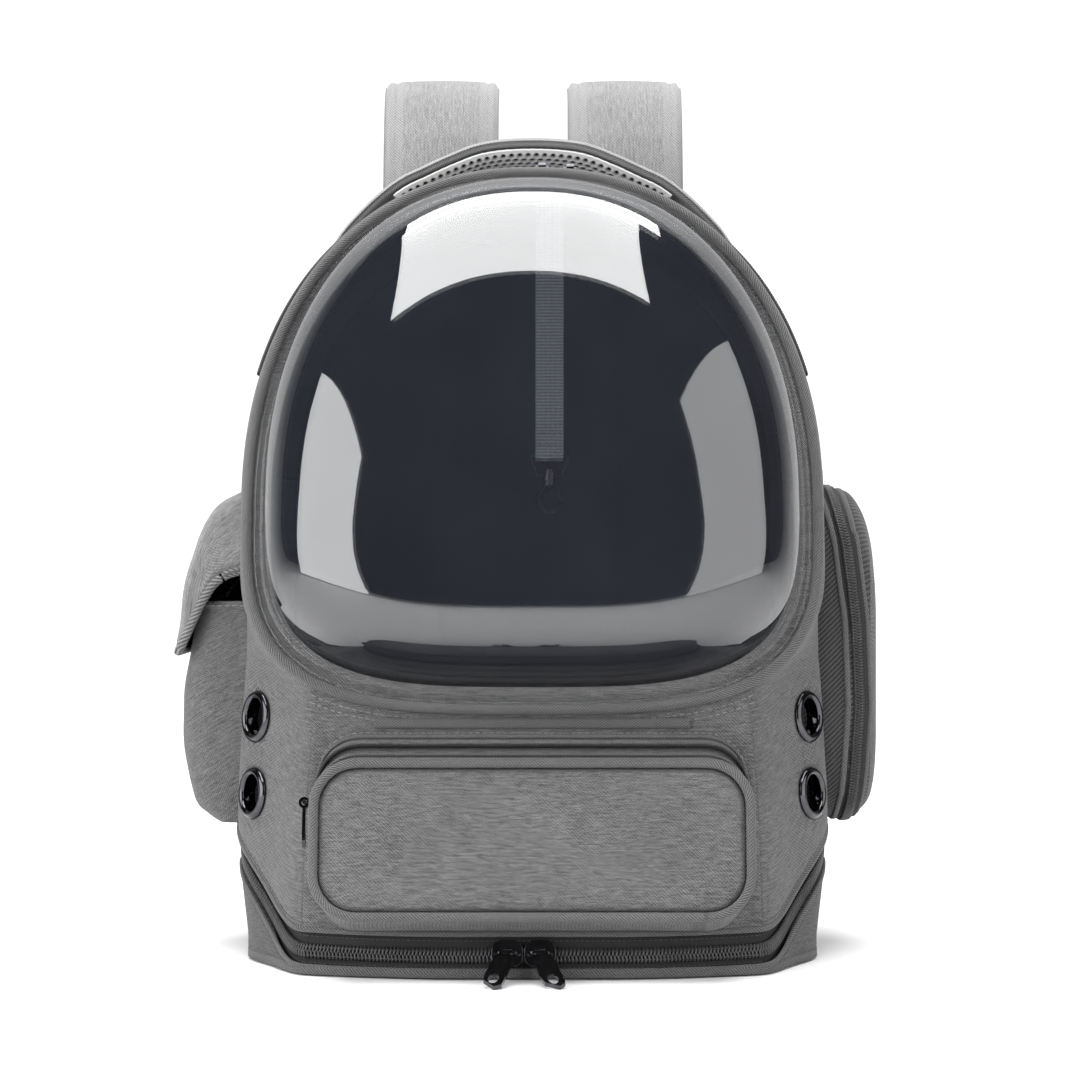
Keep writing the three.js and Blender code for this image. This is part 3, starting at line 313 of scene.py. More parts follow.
def in_front(x, lift, z):
    """A point given in the front plane: across, off the plane and up the slope."""
    return Vector((x, FRONT, 0)) + FRONT_OUT * lift + Vector((0, math.sin(RAKE), math.cos(RAKE))) * z


# ---------------------------------------------------------------- bubble, in the front plane

B_HALF, B_UP, B_DOWN, B_ARCH_UP, B_ARCH_DOWN = 142.0, 172.0, 98.5, 2.22, 3.4
B_FLANGE, B_BULGE, B_THICK, B_LAP = 6.0, 81.0, 1.8, 10.0
B_FLAT_UP, B_FLAT_DOWN, B_CHANGE, B_TURN = 4.6, 9.0, 120.0, 2.2
B_SMOKE, B_SMOKE_INNER, B_SMOKE_RIM = 0.4, 0.12, 0.06
B_MIDDLE = SPRING * SLOPE
PIPE = 2.6


def bubble_outline(margin, count):
    """Points round the bubble's edge, an equal distance apart on its upper and on its lower half."""
    pts = []
    for sign, arch, high in ((1, B_ARCH_UP, B_UP), (-1, B_ARCH_DOWN, B_DOWN)):
        fine = []
        for i in range(901):
            a = math.pi * i / 900
            x = math.copysign(abs(math.cos(a)) ** (2 / arch), math.cos(a)) * (B_HALF + margin) * sign
            z = B_MIDDLE + sign * math.sin(a) ** (2 / arch) * (high * SLOPE + margin)
            fine.append(Vector((x, z, 0)))
        pts += resample(fine, length_of(fine) / (count // 2))[: count // 2]
    return [(p.x, p.y) for p in pts]


def bubble_reach(x, z, margin):
    """The outline's point in the direction of (x, z) from the bubble's middle."""
    dz = z - B_MIDDLE
    size = math.hypot(x, dz)
    c, s = abs(x) / size, abs(dz) / size
    n = B_ARCH_UP if dz >= 0 else B_ARCH_DOWN
    b = (B_UP if dz >= 0 else B_DOWN) * SLOPE + margin
    r = ((c / (B_HALF + margin)) ** n + (s / b) ** n) ** (-1 / n)
    return x / size * r, B_MIDDLE + dz / size * r


# ---------------------------------------------------------------- base zip

ZIP = {
    "front": 12.0, "side": 56.0, "start": 5.0, "run": 99.0, "ease": 2.7, "above": 9.0, "below": 7.0,
    "end": 20.0,
}


def zip_height(y):
    share = clamp((y - FRONT - ZIP["start"]) / ZIP["run"])
    return mix(ZIP["front"], ZIP["side"], math.sin(share * math.pi / 2) ** ZIP["ease"])


def foot_inset(height):
    if height >= FOOT_EDGE:
        return 0.0
    return FOOT_EDGE - math.sqrt(max(FOOT_EDGE**2 - (FOOT_EDGE - height) ** 2, 0))


# The columns of the ring round the base, from the front's middle to the right.
COLUMNS = (
    [("front", t) for t in spaced(-1, 1, 41)[20:-1]]
    + [("right", u) for u in spaced(0, 9, 64)[:-1]]
    + [("back", t) for t in spaced(1, -1, 29)[:-1]]
    + [("left", u) for u in spaced(9, 0, 64)[:-1]]
    + [("front", t) for t in spaced(-1, 1, 41)[:20]]
)


def ring_point(column, height):
    kind, at = column
    inset = foot_inset(height)
    row = row_at(height)
    if kind == "front":
        x = at * (row[0] - FRONT_EDGE - inset)
        p = front_point(x, height)
        return Vector((x, p.y + inset, height))
    if kind == "back":
        return Vector((at * (row[3] - BACK_EDGE - inset), BACK - inset, height))
    x, y = plan_point(row, height, at, inset)
    return Vector((x if kind == "right" else -x, y, height))


def at_zip(column, shift):
    return settle(lambda height: zip_height(ring_point(column, height).y) + shift)


def ring_out(i, height):
    a = ring_point(COLUMNS[i - 1], height)
    b = ring_point(COLUMNS[(i + 1) % len(COLUMNS)], height)
    along = (b - a).normalized()
    up = ring_point(COLUMNS[i], height + 1) - ring_point(COLUMNS[i], height - 1)
    return along.cross(up).normalized()


# ---------------------------------------------------------------- materials


class Shader:
    """Builds one node material."""

    def __init__(self, name):
        self.material = bpy.data.materials.new(name)
        self.material.use_nodes = True
        self.tree = self.material.node_tree
        self.tree.nodes.clear()
        self.surface = self.node("ShaderNodeBsdfPrincipled")
        out = self.node("ShaderNodeOutputMaterial")
        self.tree.links.new(self.surface.outputs[0], out.inputs[0])

    def node(self, kind, **values):
        made = self.tree.nodes.new(kind)
        for key, value in values.items():
            setattr(made, key, value)
        return made

    def put(self, socket, value):
        if isinstance(value, bpy.types.NodeSocket):
            self.tree.links.new(value, socket)
        else:
            socket.default_value = value

    def sum(self, operation, *values):
        made = self.node("ShaderNodeMath", operation=operation)
        for socket, value in zip(made.inputs, values):
            self.put(socket, value)
        return made.outputs[0]

    def place(self, name="cloth"):
        made = self.node("ShaderNodeAttribute", attribute_name=name)
        parts = self.node("ShaderNodeSeparateXYZ")
        self.put(parts.inputs[0], made.outputs["Vector"])
        return parts.outputs[0], parts.outputs[1]

    def spot(self):
        coords = self.node("ShaderNodeTexCoord")
        return coords.outputs["Object"]

    def vector(self, x, y, z=0.0):
        made = self.node("ShaderNodeCombineXYZ")
        for socket, value in zip(made.inputs, (x, y, z)):
            self.put(socket, value)
        return made.outputs[0]

    def noise(self, vector, scale, detail=2.0, rough=0.5):
        made = self.node("ShaderNodeTexNoise")
        self.put(made.inputs["Vector"], vector)
        made.inputs["Scale"].default_value = scale
        made.inputs["Detail"].default_value = detail
        made.inputs["Roughness"].default_value = rough
        return made.outputs["Fac"]

    def wave(self, value, pitch):
        return self.sum("SINE", self.sum("MULTIPLY", value, 2 * math.pi / pitch))

    def ramp(self, factor, stops):
        made = self.node("ShaderNodeValToRGB")
        self.put(made.inputs[0], factor)
        items = made.color_ramp.elements
        while len(items) < len(stops):
            items.new(0.5)
        for item, (at, colour) in zip(items, stops):
            item.position = at
            item.color = (*colour, 1)
        return made.outputs[0]

    def blend(self, factor, a, b):
        made = self.node("ShaderNodeMix", data_type="RGBA")
        self.put(made.inputs[0], factor)
        for socket, value in ((made.inputs[6], a), (made.inputs[7], b)):
            self.put(socket, value)
        return made.outputs[2]

    def bump(self, height, strength, distance):
        made = self.node("ShaderNodeBump")
        self.put(made.inputs["Height"], height)
        made.inputs["Strength"].default_value = strength
        made.inputs["Distance"].default_value = distance
        self.put(self.surface.inputs["Normal"], made.outputs[0])

    def set(self, **values):
        for key, value in values.items():
            self.put(self.surface.inputs[key.replace("_", " ")], value)


def grey(level, tint=(1, 1, 1)):
    return tuple(level * t for t in tint)


def melange(name, dark, light, pitch=1.05, long=9.0, upright=False, twill=0.35, bump=0.6, streaks=1.15):
    """Heathered oxford: crossed threads under streaks of darker and lighter yarn."""
    s = Shader(name)
    u, v = s.place()
    if upright:
        u, v = v, u
    warp, weft = s.wave(u, pitch), s.wave(v, pitch)
    crossed = s.sum("MULTIPLY_ADD", s.sum("MULTIPLY", warp, weft), 0.5, 0.5)
    diagonal = s.sum("MULTIPLY_ADD", s.wave(s.sum("ADD", u, v), pitch * 1.7), 0.5, 0.5)
    weave = s.sum("ADD", s.sum("MULTIPLY", crossed, 1 - twill), s.sum("MULTIPLY", diagonal, twill))
    yarn = s.noise(s.vector(s.sum("DIVIDE", u, long), s.sum("DIVIDE", v, 1.15)), 1.0, 3.0, 0.62)
    yarn2 = s.noise(s.vector(s.sum("DIVIDE", u, long * 0.3), s.sum("DIVIDE", v, 0.8)), 1.0, 2.0, 0.6)
    cloud = s.noise(s.vector(s.sum("DIVIDE", u, 60.0), s.sum("DIVIDE", v, 45.0)), 1.0, 2.0, 0.5)
    grain = s.noise(s.vector(u, v), 1.6, 1.0, 0.5)
    tone = s.sum("MULTIPLY_ADD", s.sum("SUBTRACT", yarn, 0.5), streaks, 0.5)
    tone = s.sum("MULTIPLY_ADD", s.sum("SUBTRACT", yarn2, 0.5), streaks * 0.8, tone)
    tone = s.sum("MULTIPLY_ADD", s.sum("SUBTRACT", grain, 0.5), 1.1, tone)
    tone = s.sum("MULTIPLY_ADD", s.sum("SUBTRACT", cloud, 0.5), 0.35, tone)
    tone = s.sum("MULTIPLY_ADD", s.sum("SUBTRACT", weave, 0.5), 0.8, tone)
    middle = tuple(mix(a, b, 0.45) for a, b in zip(dark, light))
    colour = s.ramp(tone, [(0.1, dark), (0.5, middle), (0.9, light)])
    rough = s.sum("MULTIPLY_ADD", weave, -0.12, 0.96)
    s.set(Base_Color=colour, Roughness=rough, Sheen_Weight=0.12, Sheen_Roughness=0.5)
    s.set(Specular_IOR_Level=0.25)
    s.bump(s.sum("ADD", weave, s.sum("MULTIPLY", yarn, 0.8)), bump, 0.00035)
    return s.material


def tape_material(name, dark, light, pitch=1.3, across=0.0):
    """Ribbed tape or webbing: ribs run across its length, which is u."""
    s = Shader(name)
    u, v = s.place()
    lean = s.sum("MULTIPLY_ADD", v, across, u)
    rib = s.sum("MULTIPLY_ADD", s.wave(lean, pitch), 0.5, 0.5)
    cross = s.sum("MULTIPLY_ADD", s.wave(v, pitch * 0.8), 0.5, 0.5)
    grain = s.noise(s.vector(u, v), 1.4, 2.0, 0.6)
    tone = s.sum("ADD", s.sum("MULTIPLY", rib, 0.5), s.sum("MULTIPLY", grain, 0.6))
    tone = s.sum("MULTIPLY_ADD", cross, 0.15, tone)
    s.set(Base_Color=s.ramp(tone, [(0.15, dark), (0.95, light)]), Roughness=0.82, Specular_IOR_Level=0.3)
    s.bump(s.sum("ADD", rib, s.sum("MULTIPLY", cross, 0.5)), 0.6, 0.0004)
    return s.material


def spotted(name, dark, light, roughs, scale, metallic=0.0, bump=0.0, **more):
    """Hard or plain stuff with a slow change of tone and gloss."""
    s = Shader(name)
    cloud = s.noise(s.spot(), scale, 3.0, 0.6)
    fine = s.noise(s.spot(), scale * 9, 2.0, 0.6)
    s.set(
        Base_Color=s.ramp(cloud, [(0.3, dark), (0.7, light)]),
        Roughness=s.sum("MULTIPLY_ADD", fine, roughs[1] - roughs[0], roughs[0]),
        Metallic=metallic,
        **more,
    )
    if bump:
        s.bump(fine, bump, 0.0001)
    return s.material


def smoked_material():
    """Smoked clear plastic: the tint attribute says how much smoke each place has."""
    s = Shader("smoked_window")
    tint, _ = s.place("tint")
    haze = s.noise(s.spot(), 30.0, 3.0, 0.6)
    solid = s.sum("MULTIPLY_ADD", haze, 0.03, tint)
    s.set(
        Base_Color=s.ramp(haze, [(0.3, (0.010, 0.012, 0.019)), (0.75, (0.014, 0.017, 0.026))]),
        Alpha=solid,
        Roughness=s.sum("MULTIPLY_ADD", haze, 0.02, 0.015),
        Coat_Weight=1.0,
        Coat_Roughness=0.02,
        Coat_IOR=2.4,
        IOR=1.5,
    )
    return s.material


def air_mesh_material():
    """Spacer mesh: a point attribute, 0 down each hole, paints the holes near black as painted shade; the greys
    are painted lighter against the mesh's shade.
    """
    s = Shader("air_mesh")
    u, v = s.place()
    grain = s.noise(s.vector(u, v), 2.2, 2.0, 0.6)
    hole_shade, _ = s.place("hole_shade")
    shade = s.sum("MULTIPLY_ADD", s.sum("SUBTRACT", grain, 0.5), 0.5, hole_shade)
    # near black down the holes is painted shade, and the light greys are painted light against the shade the
    # mesh lies in
    s.set(
        Base_Color=s.ramp(shade, [(0.15, (0.012, 0.012, 0.013)), (0.55, grey(0.26)), (0.95, grey(0.50))]),
        Roughness=0.85,
        Specular_IOR_Level=0.25,
    )
    s.bump(grain, 0.5, 0.0003)
    return s.material


OXFORD = melange("grey_oxford", grey(0.028), grey(0.145))
OXFORD_UP = melange("grey_oxford_upright", grey(0.028), grey(0.145), upright=True)
BIAS = melange(
    "oxford_bias", grey(0.03), grey(0.125), pitch=1.0, long=5.0, twill=0.85, bump=0.7, streaks=0.4,
)
BINDING = melange(
    "ribbed_binding", grey(0.05), grey(0.20), pitch=1.5, long=4.0, twill=0.9, bump=0.9, streaks=0.3,
)
# The straps' and handle's cloth is the body's melange painted lighter: painted light from above and behind.
STRAP_PAINTED_LIGHT = melange("strap_cloth", grey(0.09), grey(0.26), streaks=0.9)
# The flap's cloth is the upright oxford painted lighter: painted light from the key light on the left.
FLAP_CLOTH_PAINTED_LIGHT = melange("flap_cloth_painted_light", grey(0.06), grey(0.26), upright=True)
# The right pocket's side walls: a darker twill that is painted shade on the carrier's shaded right side.
GUSSET_PAINTED_SHADE = melange(
    "gusset_painted_shade", grey(0.012), grey(0.06), pitch=1.6, long=5.0, twill=0.8, bump=0.8, streaks=0.4,
)
TRAY = melange("tray_cloth", grey(0.02), grey(0.105))
# The straps' and handle's bound edges, painted lighter too: painted light from above and behind.
STRAP_EDGE_PAINTED_LIGHT = melange(
    "strap_binding", grey(0.12), grey(0.27), pitch=1.0, long=6.0, twill=0.7, streaks=0.4,
)
TAPE = tape_material("zip_tape", grey(0.006), grey(0.03), 1.0, 0.9)
WEBBING = tape_material("black_webbing", grey(0.012), grey(0.06), 1.9)
BLUISH = (0.88, 0.96, 1.05)
TETHER = tape_material("tether_webbing", grey(0.05, BLUISH), grey(0.19, BLUISH), 1.7)
COIL = spotted("zip_coil", grey(0.012), grey(0.03), (0.28, 0.5), 60, bump=0.2)
NICKEL = spotted("black_nickel", (0.045, 0.045, 0.05), (0.09, 0.09, 0.098), (0.07, 0.2), 90, metallic=1.0)
GLOSS = spotted("black_hardware", grey(0.008), grey(0.016), (0.15, 0.3), 70, bump=0.1)
LINING = spotted(
    "dark_lining", (0.004, 0.0045, 0.006), (0.009, 0.0095, 0.012), (0.8, 0.95), 120, bump=0.4,
)
THREAD = spotted("sewing_thread", grey(0.12), grey(0.22), (0.6, 0.8), 300)
DARK_THREAD = spotted("dark_thread", grey(0.03), grey(0.06), (0.6, 0.8), 300)
WINDOW = smoked_material()
AIR_MESH = air_mesh_material()

# ---------------------------------------------------------------- mesh making


def link(name, mesh):
    made = bpy.data.objects.new(name, mesh)
    bpy.context.scene.collection.objects.link(made)
    return made


def smooth_faces(mesh):
    mesh.polygons.foreach_set("use_smooth", [True] * len(mesh.polygons))


def add_piece(name, verts, faces, materials, slot, cloth=None, extra=None, index=None, replaces=()):
    """A mesh piece of the carrier: cloth holds the weave's place at each point."""
    mesh = bpy.data.meshes.new(name)
    mesh.from_pydata([tuple(c * MM for c in v) for v in verts], [], faces)
    materials = materials if isinstance(materials, (list, tuple)) else [materials]
    for m in materials:
        mesh.materials.append(m)
    if cloth:
        layer = mesh.attributes.new("cloth", "FLOAT_VECTOR", "POINT")
        layer.data.foreach_set("vector", [c for uv in cloth for c in (uv[0], uv[1], 0.0)])
    for key, values in (extra or {}).items():
        layer = mesh.attributes.new(key, "FLOAT_VECTOR", "POINT")
        layer.data.foreach_set("vector", [c for v in values for c in (v, 0.0, 0.0)])
    if index:
        mesh.polygons.foreach_set("material_index", index)
    smooth_faces(mesh)
    mesh.validate()
    mesh.update()
    piece = link(name, mesh)
    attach(piece, BODY)
    if replaces:
        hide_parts(*replaces)
    return piece


def solidify(piece, thickness, inner=0, offset=-1.0):
    mod = piece.modifiers.new("wall", "SOLIDIFY")
    mod.thickness = thickness * MM
    mod.offset = offset
    mod.use_even_offset = True
    mod.thickness_clamp = 0.5
    mod.material_offset = inner
    return piece


def grid_faces(rows, cols, close_u=False, close_v=False, flip=False):
    faces = []
    for i in range(rows if close_v else rows - 1):
        k = (i + 1) % rows
        for j in range(cols if close_u else cols - 1):
            n = (j + 1) % cols
            face = (i * cols + j, i * cols + n, k * cols + n, k * cols + j)
            faces.append(face[::-1] if flip else face)
    return faces


def cloth_lengths(rows):
    """Lengths along the rows and columns of a grid, which carry the weave."""
    middle = len(rows[0]) // 2
    across = []
    for row in rows:
        at = [0.0]
        for a, b in zip(row, row[1:]):
            at.append(at[-1] + (b - a).length)
        across.append([x - at[middle] for x in at])
    down = [[0.0] * len(rows[0])]
    for a, b in zip(rows, rows[1:]):
        down.append([d + (q - p).length for d, p, q in zip(down[-1], a, b)])
    base = rows[0][0].z
    return [(a, d + base) for line, fall in zip(across, down) for a, d in zip(line, fall)]


def grid_piece(name, rows, materials, slot, close_u=False, close_v=False, flip=False, **more):
    verts = [p for row in rows for p in row]
    faces = grid_faces(len(rows), len(rows[0]), close_u, close_v, flip)
    return add_piece(name, verts, faces, materials, slot, cloth=cloth_lengths(rows), **more)


def frames(path, outward, closed=False):
    """Each point's along, out and across."""
    n = len(path)
    found = []
    for i, p in enumerate(path):
        a = path[i - 1] if closed or i else p
        b = path[(i + 1) % n] if closed or i + 1 < n else p
        along = (b - a).normalized()
        out = outward[i] - along * along.dot(outward[i])
        out = out.normalized() if out.length > 1e-6 else along.orthogonal().normalized()
        found.append((along, out, along.cross(out)))
    return found


def sweep_piece(name, path, outward, section, materials, slot, closed=False, index_of=None, **more):
    """A closed section carried along a path; a section that changes is a function of the share."""
    rows = []
    for i, (p, (_, out, across)) in enumerate(zip(path, frames(path, outward, closed))):
        shape = section(i / max(len(path) - 1, 1)) if callable(section) else section
        rows.append([p + out * o + across * a for o, a in shape])
    cols = len(rows[0])
    verts = [p for row in rows for p in row]
    faces = grid_faces(len(rows), cols, True, closed)
    run, cloth = 0.0, []
    for i, row in enumerate(rows):
        if i:
            run += (path[i] - path[i - 1]).length
        at = 0.0
        for j, p in enumerate(row):
            cloth.append((run, at))
            at += (row[(j + 1) % cols] - p).length
    index = None
    if index_of:
        index = [index_of(f[0] % cols) for f in faces]
    if not closed:
        faces.append(tuple(range(cols)))
        faces.append(tuple((len(rows) - 1) * cols + j for j in reversed(range(cols))))
        if index is not None:
            index += [0, 0]
    return add_piece(name, verts, faces, materials, slot, cloth=cloth, index=index, **more)


def round_section(high, wide, sides=10, lift=0.0):
    angles = [2 * math.pi * (i + 0.5) / sides for i in range(sides)]
    return [(lift + high * math.sin(a), wide * math.cos(a)) for a in angles]


def flat_section(low, high, half, edge=0.5):
    return [
        (low, half - edge), (low + edge, half), (high - edge, half), (high, half - edge),
        (high, -half + edge), (high - edge, -half), (low + edge, -half), (low, -half + edge),
    ]


def bar_mesh(verts, faces, centre, along, out, across, length, half_high, half_wide):
    """A small rounded bar, lying along one direction."""
    base = len(verts)
    for t, s in ((-0.5, 0.35), (-0.3, 1.0), (0.3, 1.0), (0.5, 0.35)):
        for k in range(6):
            a = 2 * math.pi * k / 6
            verts.append(
                centre + along * (length * t)
                + out * (half_high * s * math.sin(a)) + across * (half_wide * s * math.cos(a))
            )
    faces.extend(tuple(base + v for v in face) for face in grid_faces(4, 6, True))
    faces.append(tuple(base + k for k in reversed(range(6))))
    faces.append(tuple(base + 18 + k for k in range(6)))


def stitch_piece(name, lines, material=THREAD, pitch=3.6, length=2.5, thick=0.27, slot="grey_oxford"):
    """Rows of stitches: each line is a path with its outward directions."""
    rng = random.Random(name)
    verts, faces = [], []
    for path, outward in lines:
        pts, outs = resample(path, pitch, False, [outward])
        for p, (along, out, across) in zip(pts, frames(pts, outs)):
            way = (along + across * rng.uniform(-0.05, 0.05)).normalized()
            bar_mesh(
                verts, faces, p + out * (thick * 0.25), way, out, way.cross(out),
                length * rng.uniform(0.93, 1.05), thick, thick,
            )
    return add_piece(name, verts, faces, material, slot)


def coil_piece(name, path, outward, half, rise, pitch, slot="dark_webbing", replaces=(), lift=0.0):
    """A nylon coil: loops from both sides that lock on the middle line."""
    verts, faces = [], []
    pts, outs = resample(path, pitch / 2, False, [outward])
    thick = pitch * 0.36
    for i, (p, (along, out, across)) in enumerate(zip(pts, frames(pts, outs))):
        side = 1 if i % 2 else -1
        middle = p + across * (side * half * 0.42) + out * (lift + rise * 0.72)
        way = (across * side + along * 0.22 - out * 0.10).normalized()
        bar_mesh(verts, faces, middle, way, out, way.cross(out), half * 1.25, thick * 1.15, thick)
        edge = p + across * (side * half * 0.9) + out * (lift + rise * 0.35)
        bar_mesh(verts, faces, edge, out, across, along, rise * 0.95, thick, thick)
    for side in (-1, 1):
        base = len(verts)
        shape = round_section(0.45, 0.5, 6)
        for p, (along, out, across) in zip(pts, frames(pts, outs)):
            core = p + out * (lift + rise * 0.62) + across * (side * half * 0.62)
            verts.extend(core + out * o + across * a for o, a in shape)
        faces.extend(tuple(base + v for v in f) for f in grid_faces(len(pts), 6, True))
    return add_piece(name, verts, faces, COIL, slot, replaces=replaces)


# ---------------------------------------------------------------- body panels


EYELET_HEIGHTS, EYELET_ALONG, EYELET_CUT = (125.0, 86.0), 0.76, 11.0


def eyelet_places():
    """Each eyelet's middle, across, up and outward directions."""
    places = []

    def slant(side, h, share):
        edge = side_plan(row_at(h), h)
        p = Vector(edge[1]).lerp(Vector(edge[3]), share)
        return Vector((p.x * side, p.y, h))

    for side in (-1, 1):
        for height in EYELET_HEIGHTS:
            middle = slant(side, height, EYELET_ALONG)
            along = (slant(side, height, 1) - slant(side, height, 0)).normalized()
            above, below = (slant(side, height + d, EYELET_ALONG) for d in (8, -8))
            up = (above - below).normalized()
            out = (along.cross(up) * side).normalized()
            across = up.cross(out).normalized()
            places.append((middle, across, out.cross(across), out))
    return places


SIDE_US = spaced(0, 1, 4)[:-1] + spaced(1, 3, 13)[:-1] + spaced(3, 7, 30)[:-1] + spaced(7, 9, 13)


def side_low(u):
    """Where a side panel's lower edge runs, above the zip."""
    return settle(lambda height: zip_height(plan_point(row_at(height), height, u).y) + ZIP["above"])


def soften(p, out, seed, amount=0.5):
    """A slow unevenness, as foam-backed cloth has."""
    q = p * 0.022 + Vector((seed, 0, 0))
    wave = math.sin(q.x * 1.7 + 1.3 * math.sin(q.z * 2.1))
    wave += math.sin(q.z * 2.9 + 1.1 * math.sin(q.y * 2.3 + seed))
    return p - out * (amount * 0.5 * (1 + 0.5 * wave))


def punch(piece, centres, radius, reach):
    """Cuts round holes: nearby points are drawn onto the circle, then the faces inside it go."""
    mesh = piece.data
    inside = set()
    for c in centres:
        for v in mesh.vertices:
            away = v.co / MM - c
            if away.length < radius + reach:
                if away.length > radius - reach:
                    v.co = (c + away.normalized() * radius) * MM
                else:
                    inside.add(v.index)
    build = bmesh.new()
    build.from_mesh(mesh)
    build.faces.ensure_lookup_table()
    gone = []
    for face in build.faces:
        middle = face.calc_center_median() / MM
        within = any((middle - c).length < radius * 0.97 for c in centres)
        if within or any(v.index in inside for v in face.verts):
            gone.append(face)
    bmesh.ops.delete(build, geom=gone, context="FACES")
    build.to_mesh(mesh)
    build.free()


def make_side_panel(side):
    rows = []
    lows = [side_low(u) for u in SIDE_US]
    for t in spaced(0, 1, 61):
        row = []
        for u, low in zip(SIDE_US, lows):
            level = mix(low, SPRING + TOP_SEAM, t)
            row.append(soften(side_point(level, u, side), side_normal(level, u, side), 3.0 * side))
        rows.append(row)
    name = "left" if side < 0 else "right"
    piece = grid_piece(
        f"side_panel_{name}_cloth", rows, [OXFORD, LINING], "grey_oxford",
        flip=side < 0, replaces=[f"side_panel_{name}"],
    )
    centres = [place[0] for place in eyelet_places() if place[0].x * side > 0]
    punch(piece, centres, EYELET_CUT, 4.0)
    return solidify(piece, WALL, 1)


def make_top_panel():
    rows = []
    levels = spaced(SPRING + TOP_SEAM - 0.6, TOP_LEVEL, 74)
    for side, run in ((1, levels), (-1, levels[-2::-1])):
        for level in run:
            rows.append([
                soften(side_point(level, u, side), side_normal(min(level, TOP_LEVEL - 2), u, side), 7.0)
                for u in SIDE_US
            ])
    piece = grid_piece(
        "top_panel_cloth", rows, [OXFORD_UP, LINING], "grey_oxford", replaces=["top_panel"],
    )
    return solidify(piece, WALL, 1)


def make_front_panel():
    """Rings from the bubble's edge out to the panel's own edge."""
    levels = spaced(side_low(0.0), TOP_LEVEL, 130)
    right, left = ([side_point(level, 0.0, side) for level in levels] for side in (1, -1))
    low = right[0]
    bottom = []
    for x in spaced(-low.x, low.x, 62)[1:-1]:
        height = settle(lambda h: zip_height(front_point(x, h).y) + ZIP["above"])
        bottom.append(front_point(x, height))
    outer = right + left[-2::-1] + bottom
    rows = []
    for t in spaced(0, 1, 17)[:-1]:
        row = []
        for p in outer:
            x, z = bubble_reach(p.x, p.z * SLOPE, -B_LAP + 1)
            q = front_point(mix(x, p.x, t), mix(z / SLOPE, p.z, t))
            row.append(soften(q, FRONT_OUT, 11.0, 0.6 * t * (1 - t) * 4))
        rows.append(row)
    rows.append(outer)
    verts = [p for row in rows for p in row]
    cloth = [(p.x, p.z) for p in verts]
    faces = grid_faces(len(rows), len(outer), True, flip=True)
    piece = add_piece(
        "front_panel_cloth", verts, faces, [OXFORD, LINING], "grey_oxford", cloth=cloth,
        replaces=["front_panel"],
    )
    return solidify(piece, WALL, 1)


QUILT = {"at": 44.0, "deep": 2.2, "wide": 3.2, "low": 30.0, "below_top": 22.0}


def make_back_panel():
    """The back is padded: three quilted runs between two sewn channels."""
    rows = []
    edge = [side_point(level, 9.0, 1) for level in spaced(SPRING, TOP_LEVEL, 80)]
    top = max(p.z for p in edge)

    def half_at(z):
        if z <= SPRING:
            return row_at(z)[3] - BACK_EDGE
        for a, b in zip(edge, edge[1:]):
            if a.z <= z <= b.z:
                return mix(a.x, b.x, (z - a.z) / max(b.z - a.z, 1e-6))
        return 0.0

    heights = spaced(1.5, SPRING, 56)[:-1]
    heights += [SPRING + (top - SPRING) * math.sin(t * math.pi / 2) for t in spaced(0, 0.985, 46)]
    for z in heights:
        half = half_at(z)
        inset = foot_inset(z)
        row = []
        for t in spaced(-1, 1, 61):
            x = t * (half - inset)
            groove = QUILT["deep"] * math.exp(-(((abs(x) - QUILT["at"]) / QUILT["wide"]) ** 2))
            groove *= ease(0, 12, z - QUILT["low"]) * ease(0, 12, top - QUILT["below_top"] - z)
            y = BACK - inset - groove - 0.2 * (math.sin(z * 0.05) + 1)
            row.append(Vector((x, y, z)))
        rows.append(row)
    piece = grid_piece(
        "back_panel_cloth", rows, [OXFORD, LINING], "grey_oxford", flip=True, replaces=["back_panel"],
    )
    return solidify(piece, WALL, 1)


TRAY_FLOOR = 0.25


def make_base():
    """The tray: its floor from the middle outwards, the rounded foot, then its wall up to the zip."""
    tops = [
        zip_height(BACK) - ZIP["below"] if column[0] == "back" else at_zip(column, -ZIP["below"])
        for column in COLUMNS
    ]
    wall = []
    for t in spaced(0, 1, 12):
        row = []
        for column, top in zip(COLUMNS, tops):
            low = FOOT_EDGE * 0.98 if top > FOOT_EDGE else min(top, FOOT_EDGE) * 0.6
            row.append(ring_point(column, mix(low, top, t)))
        wall.append(row)
    edge = [ring_point(column, TRAY_FLOOR) for column in COLUMNS]
    floor = [
        [Vector((p.x * share, p.y * share, TRAY_FLOOR)) for p in edge]
        for share in (0.0, 0.25, 0.5, 0.75, 0.93)
    ]
    foot = [
        [ring_point(column, min(height, p.z)) for column, p in zip(COLUMNS, wall[0])]
        for height in (TRAY_FLOOR, 0.9, 2.0, 3.4)
    ]
    piece = grid_piece(
        "base_tray_cloth", floor + foot + wall, [TRAY, LINING], "grey_oxford", close_u=True,
        replaces=["base_tray"],
    )
    return solidify(piece, WALL, 1)


for side in (-1, 1):
    make_side_panel(side)
make_top_panel()
make_front_panel()
make_back_panel()
make_base()

# ---------------------------------------------------------------- bubble


def dome_height(share, rise):
    """How far the dome stands out: share runs from its middle to its edge."""
    power = mix(B_FLAT_UP, B_FLAT_DOWN, ease(-B_CHANGE, B_CHANGE, -rise))
    return B_BULGE * max(0.0, 1 - share**power) ** (1 / B_TURN)


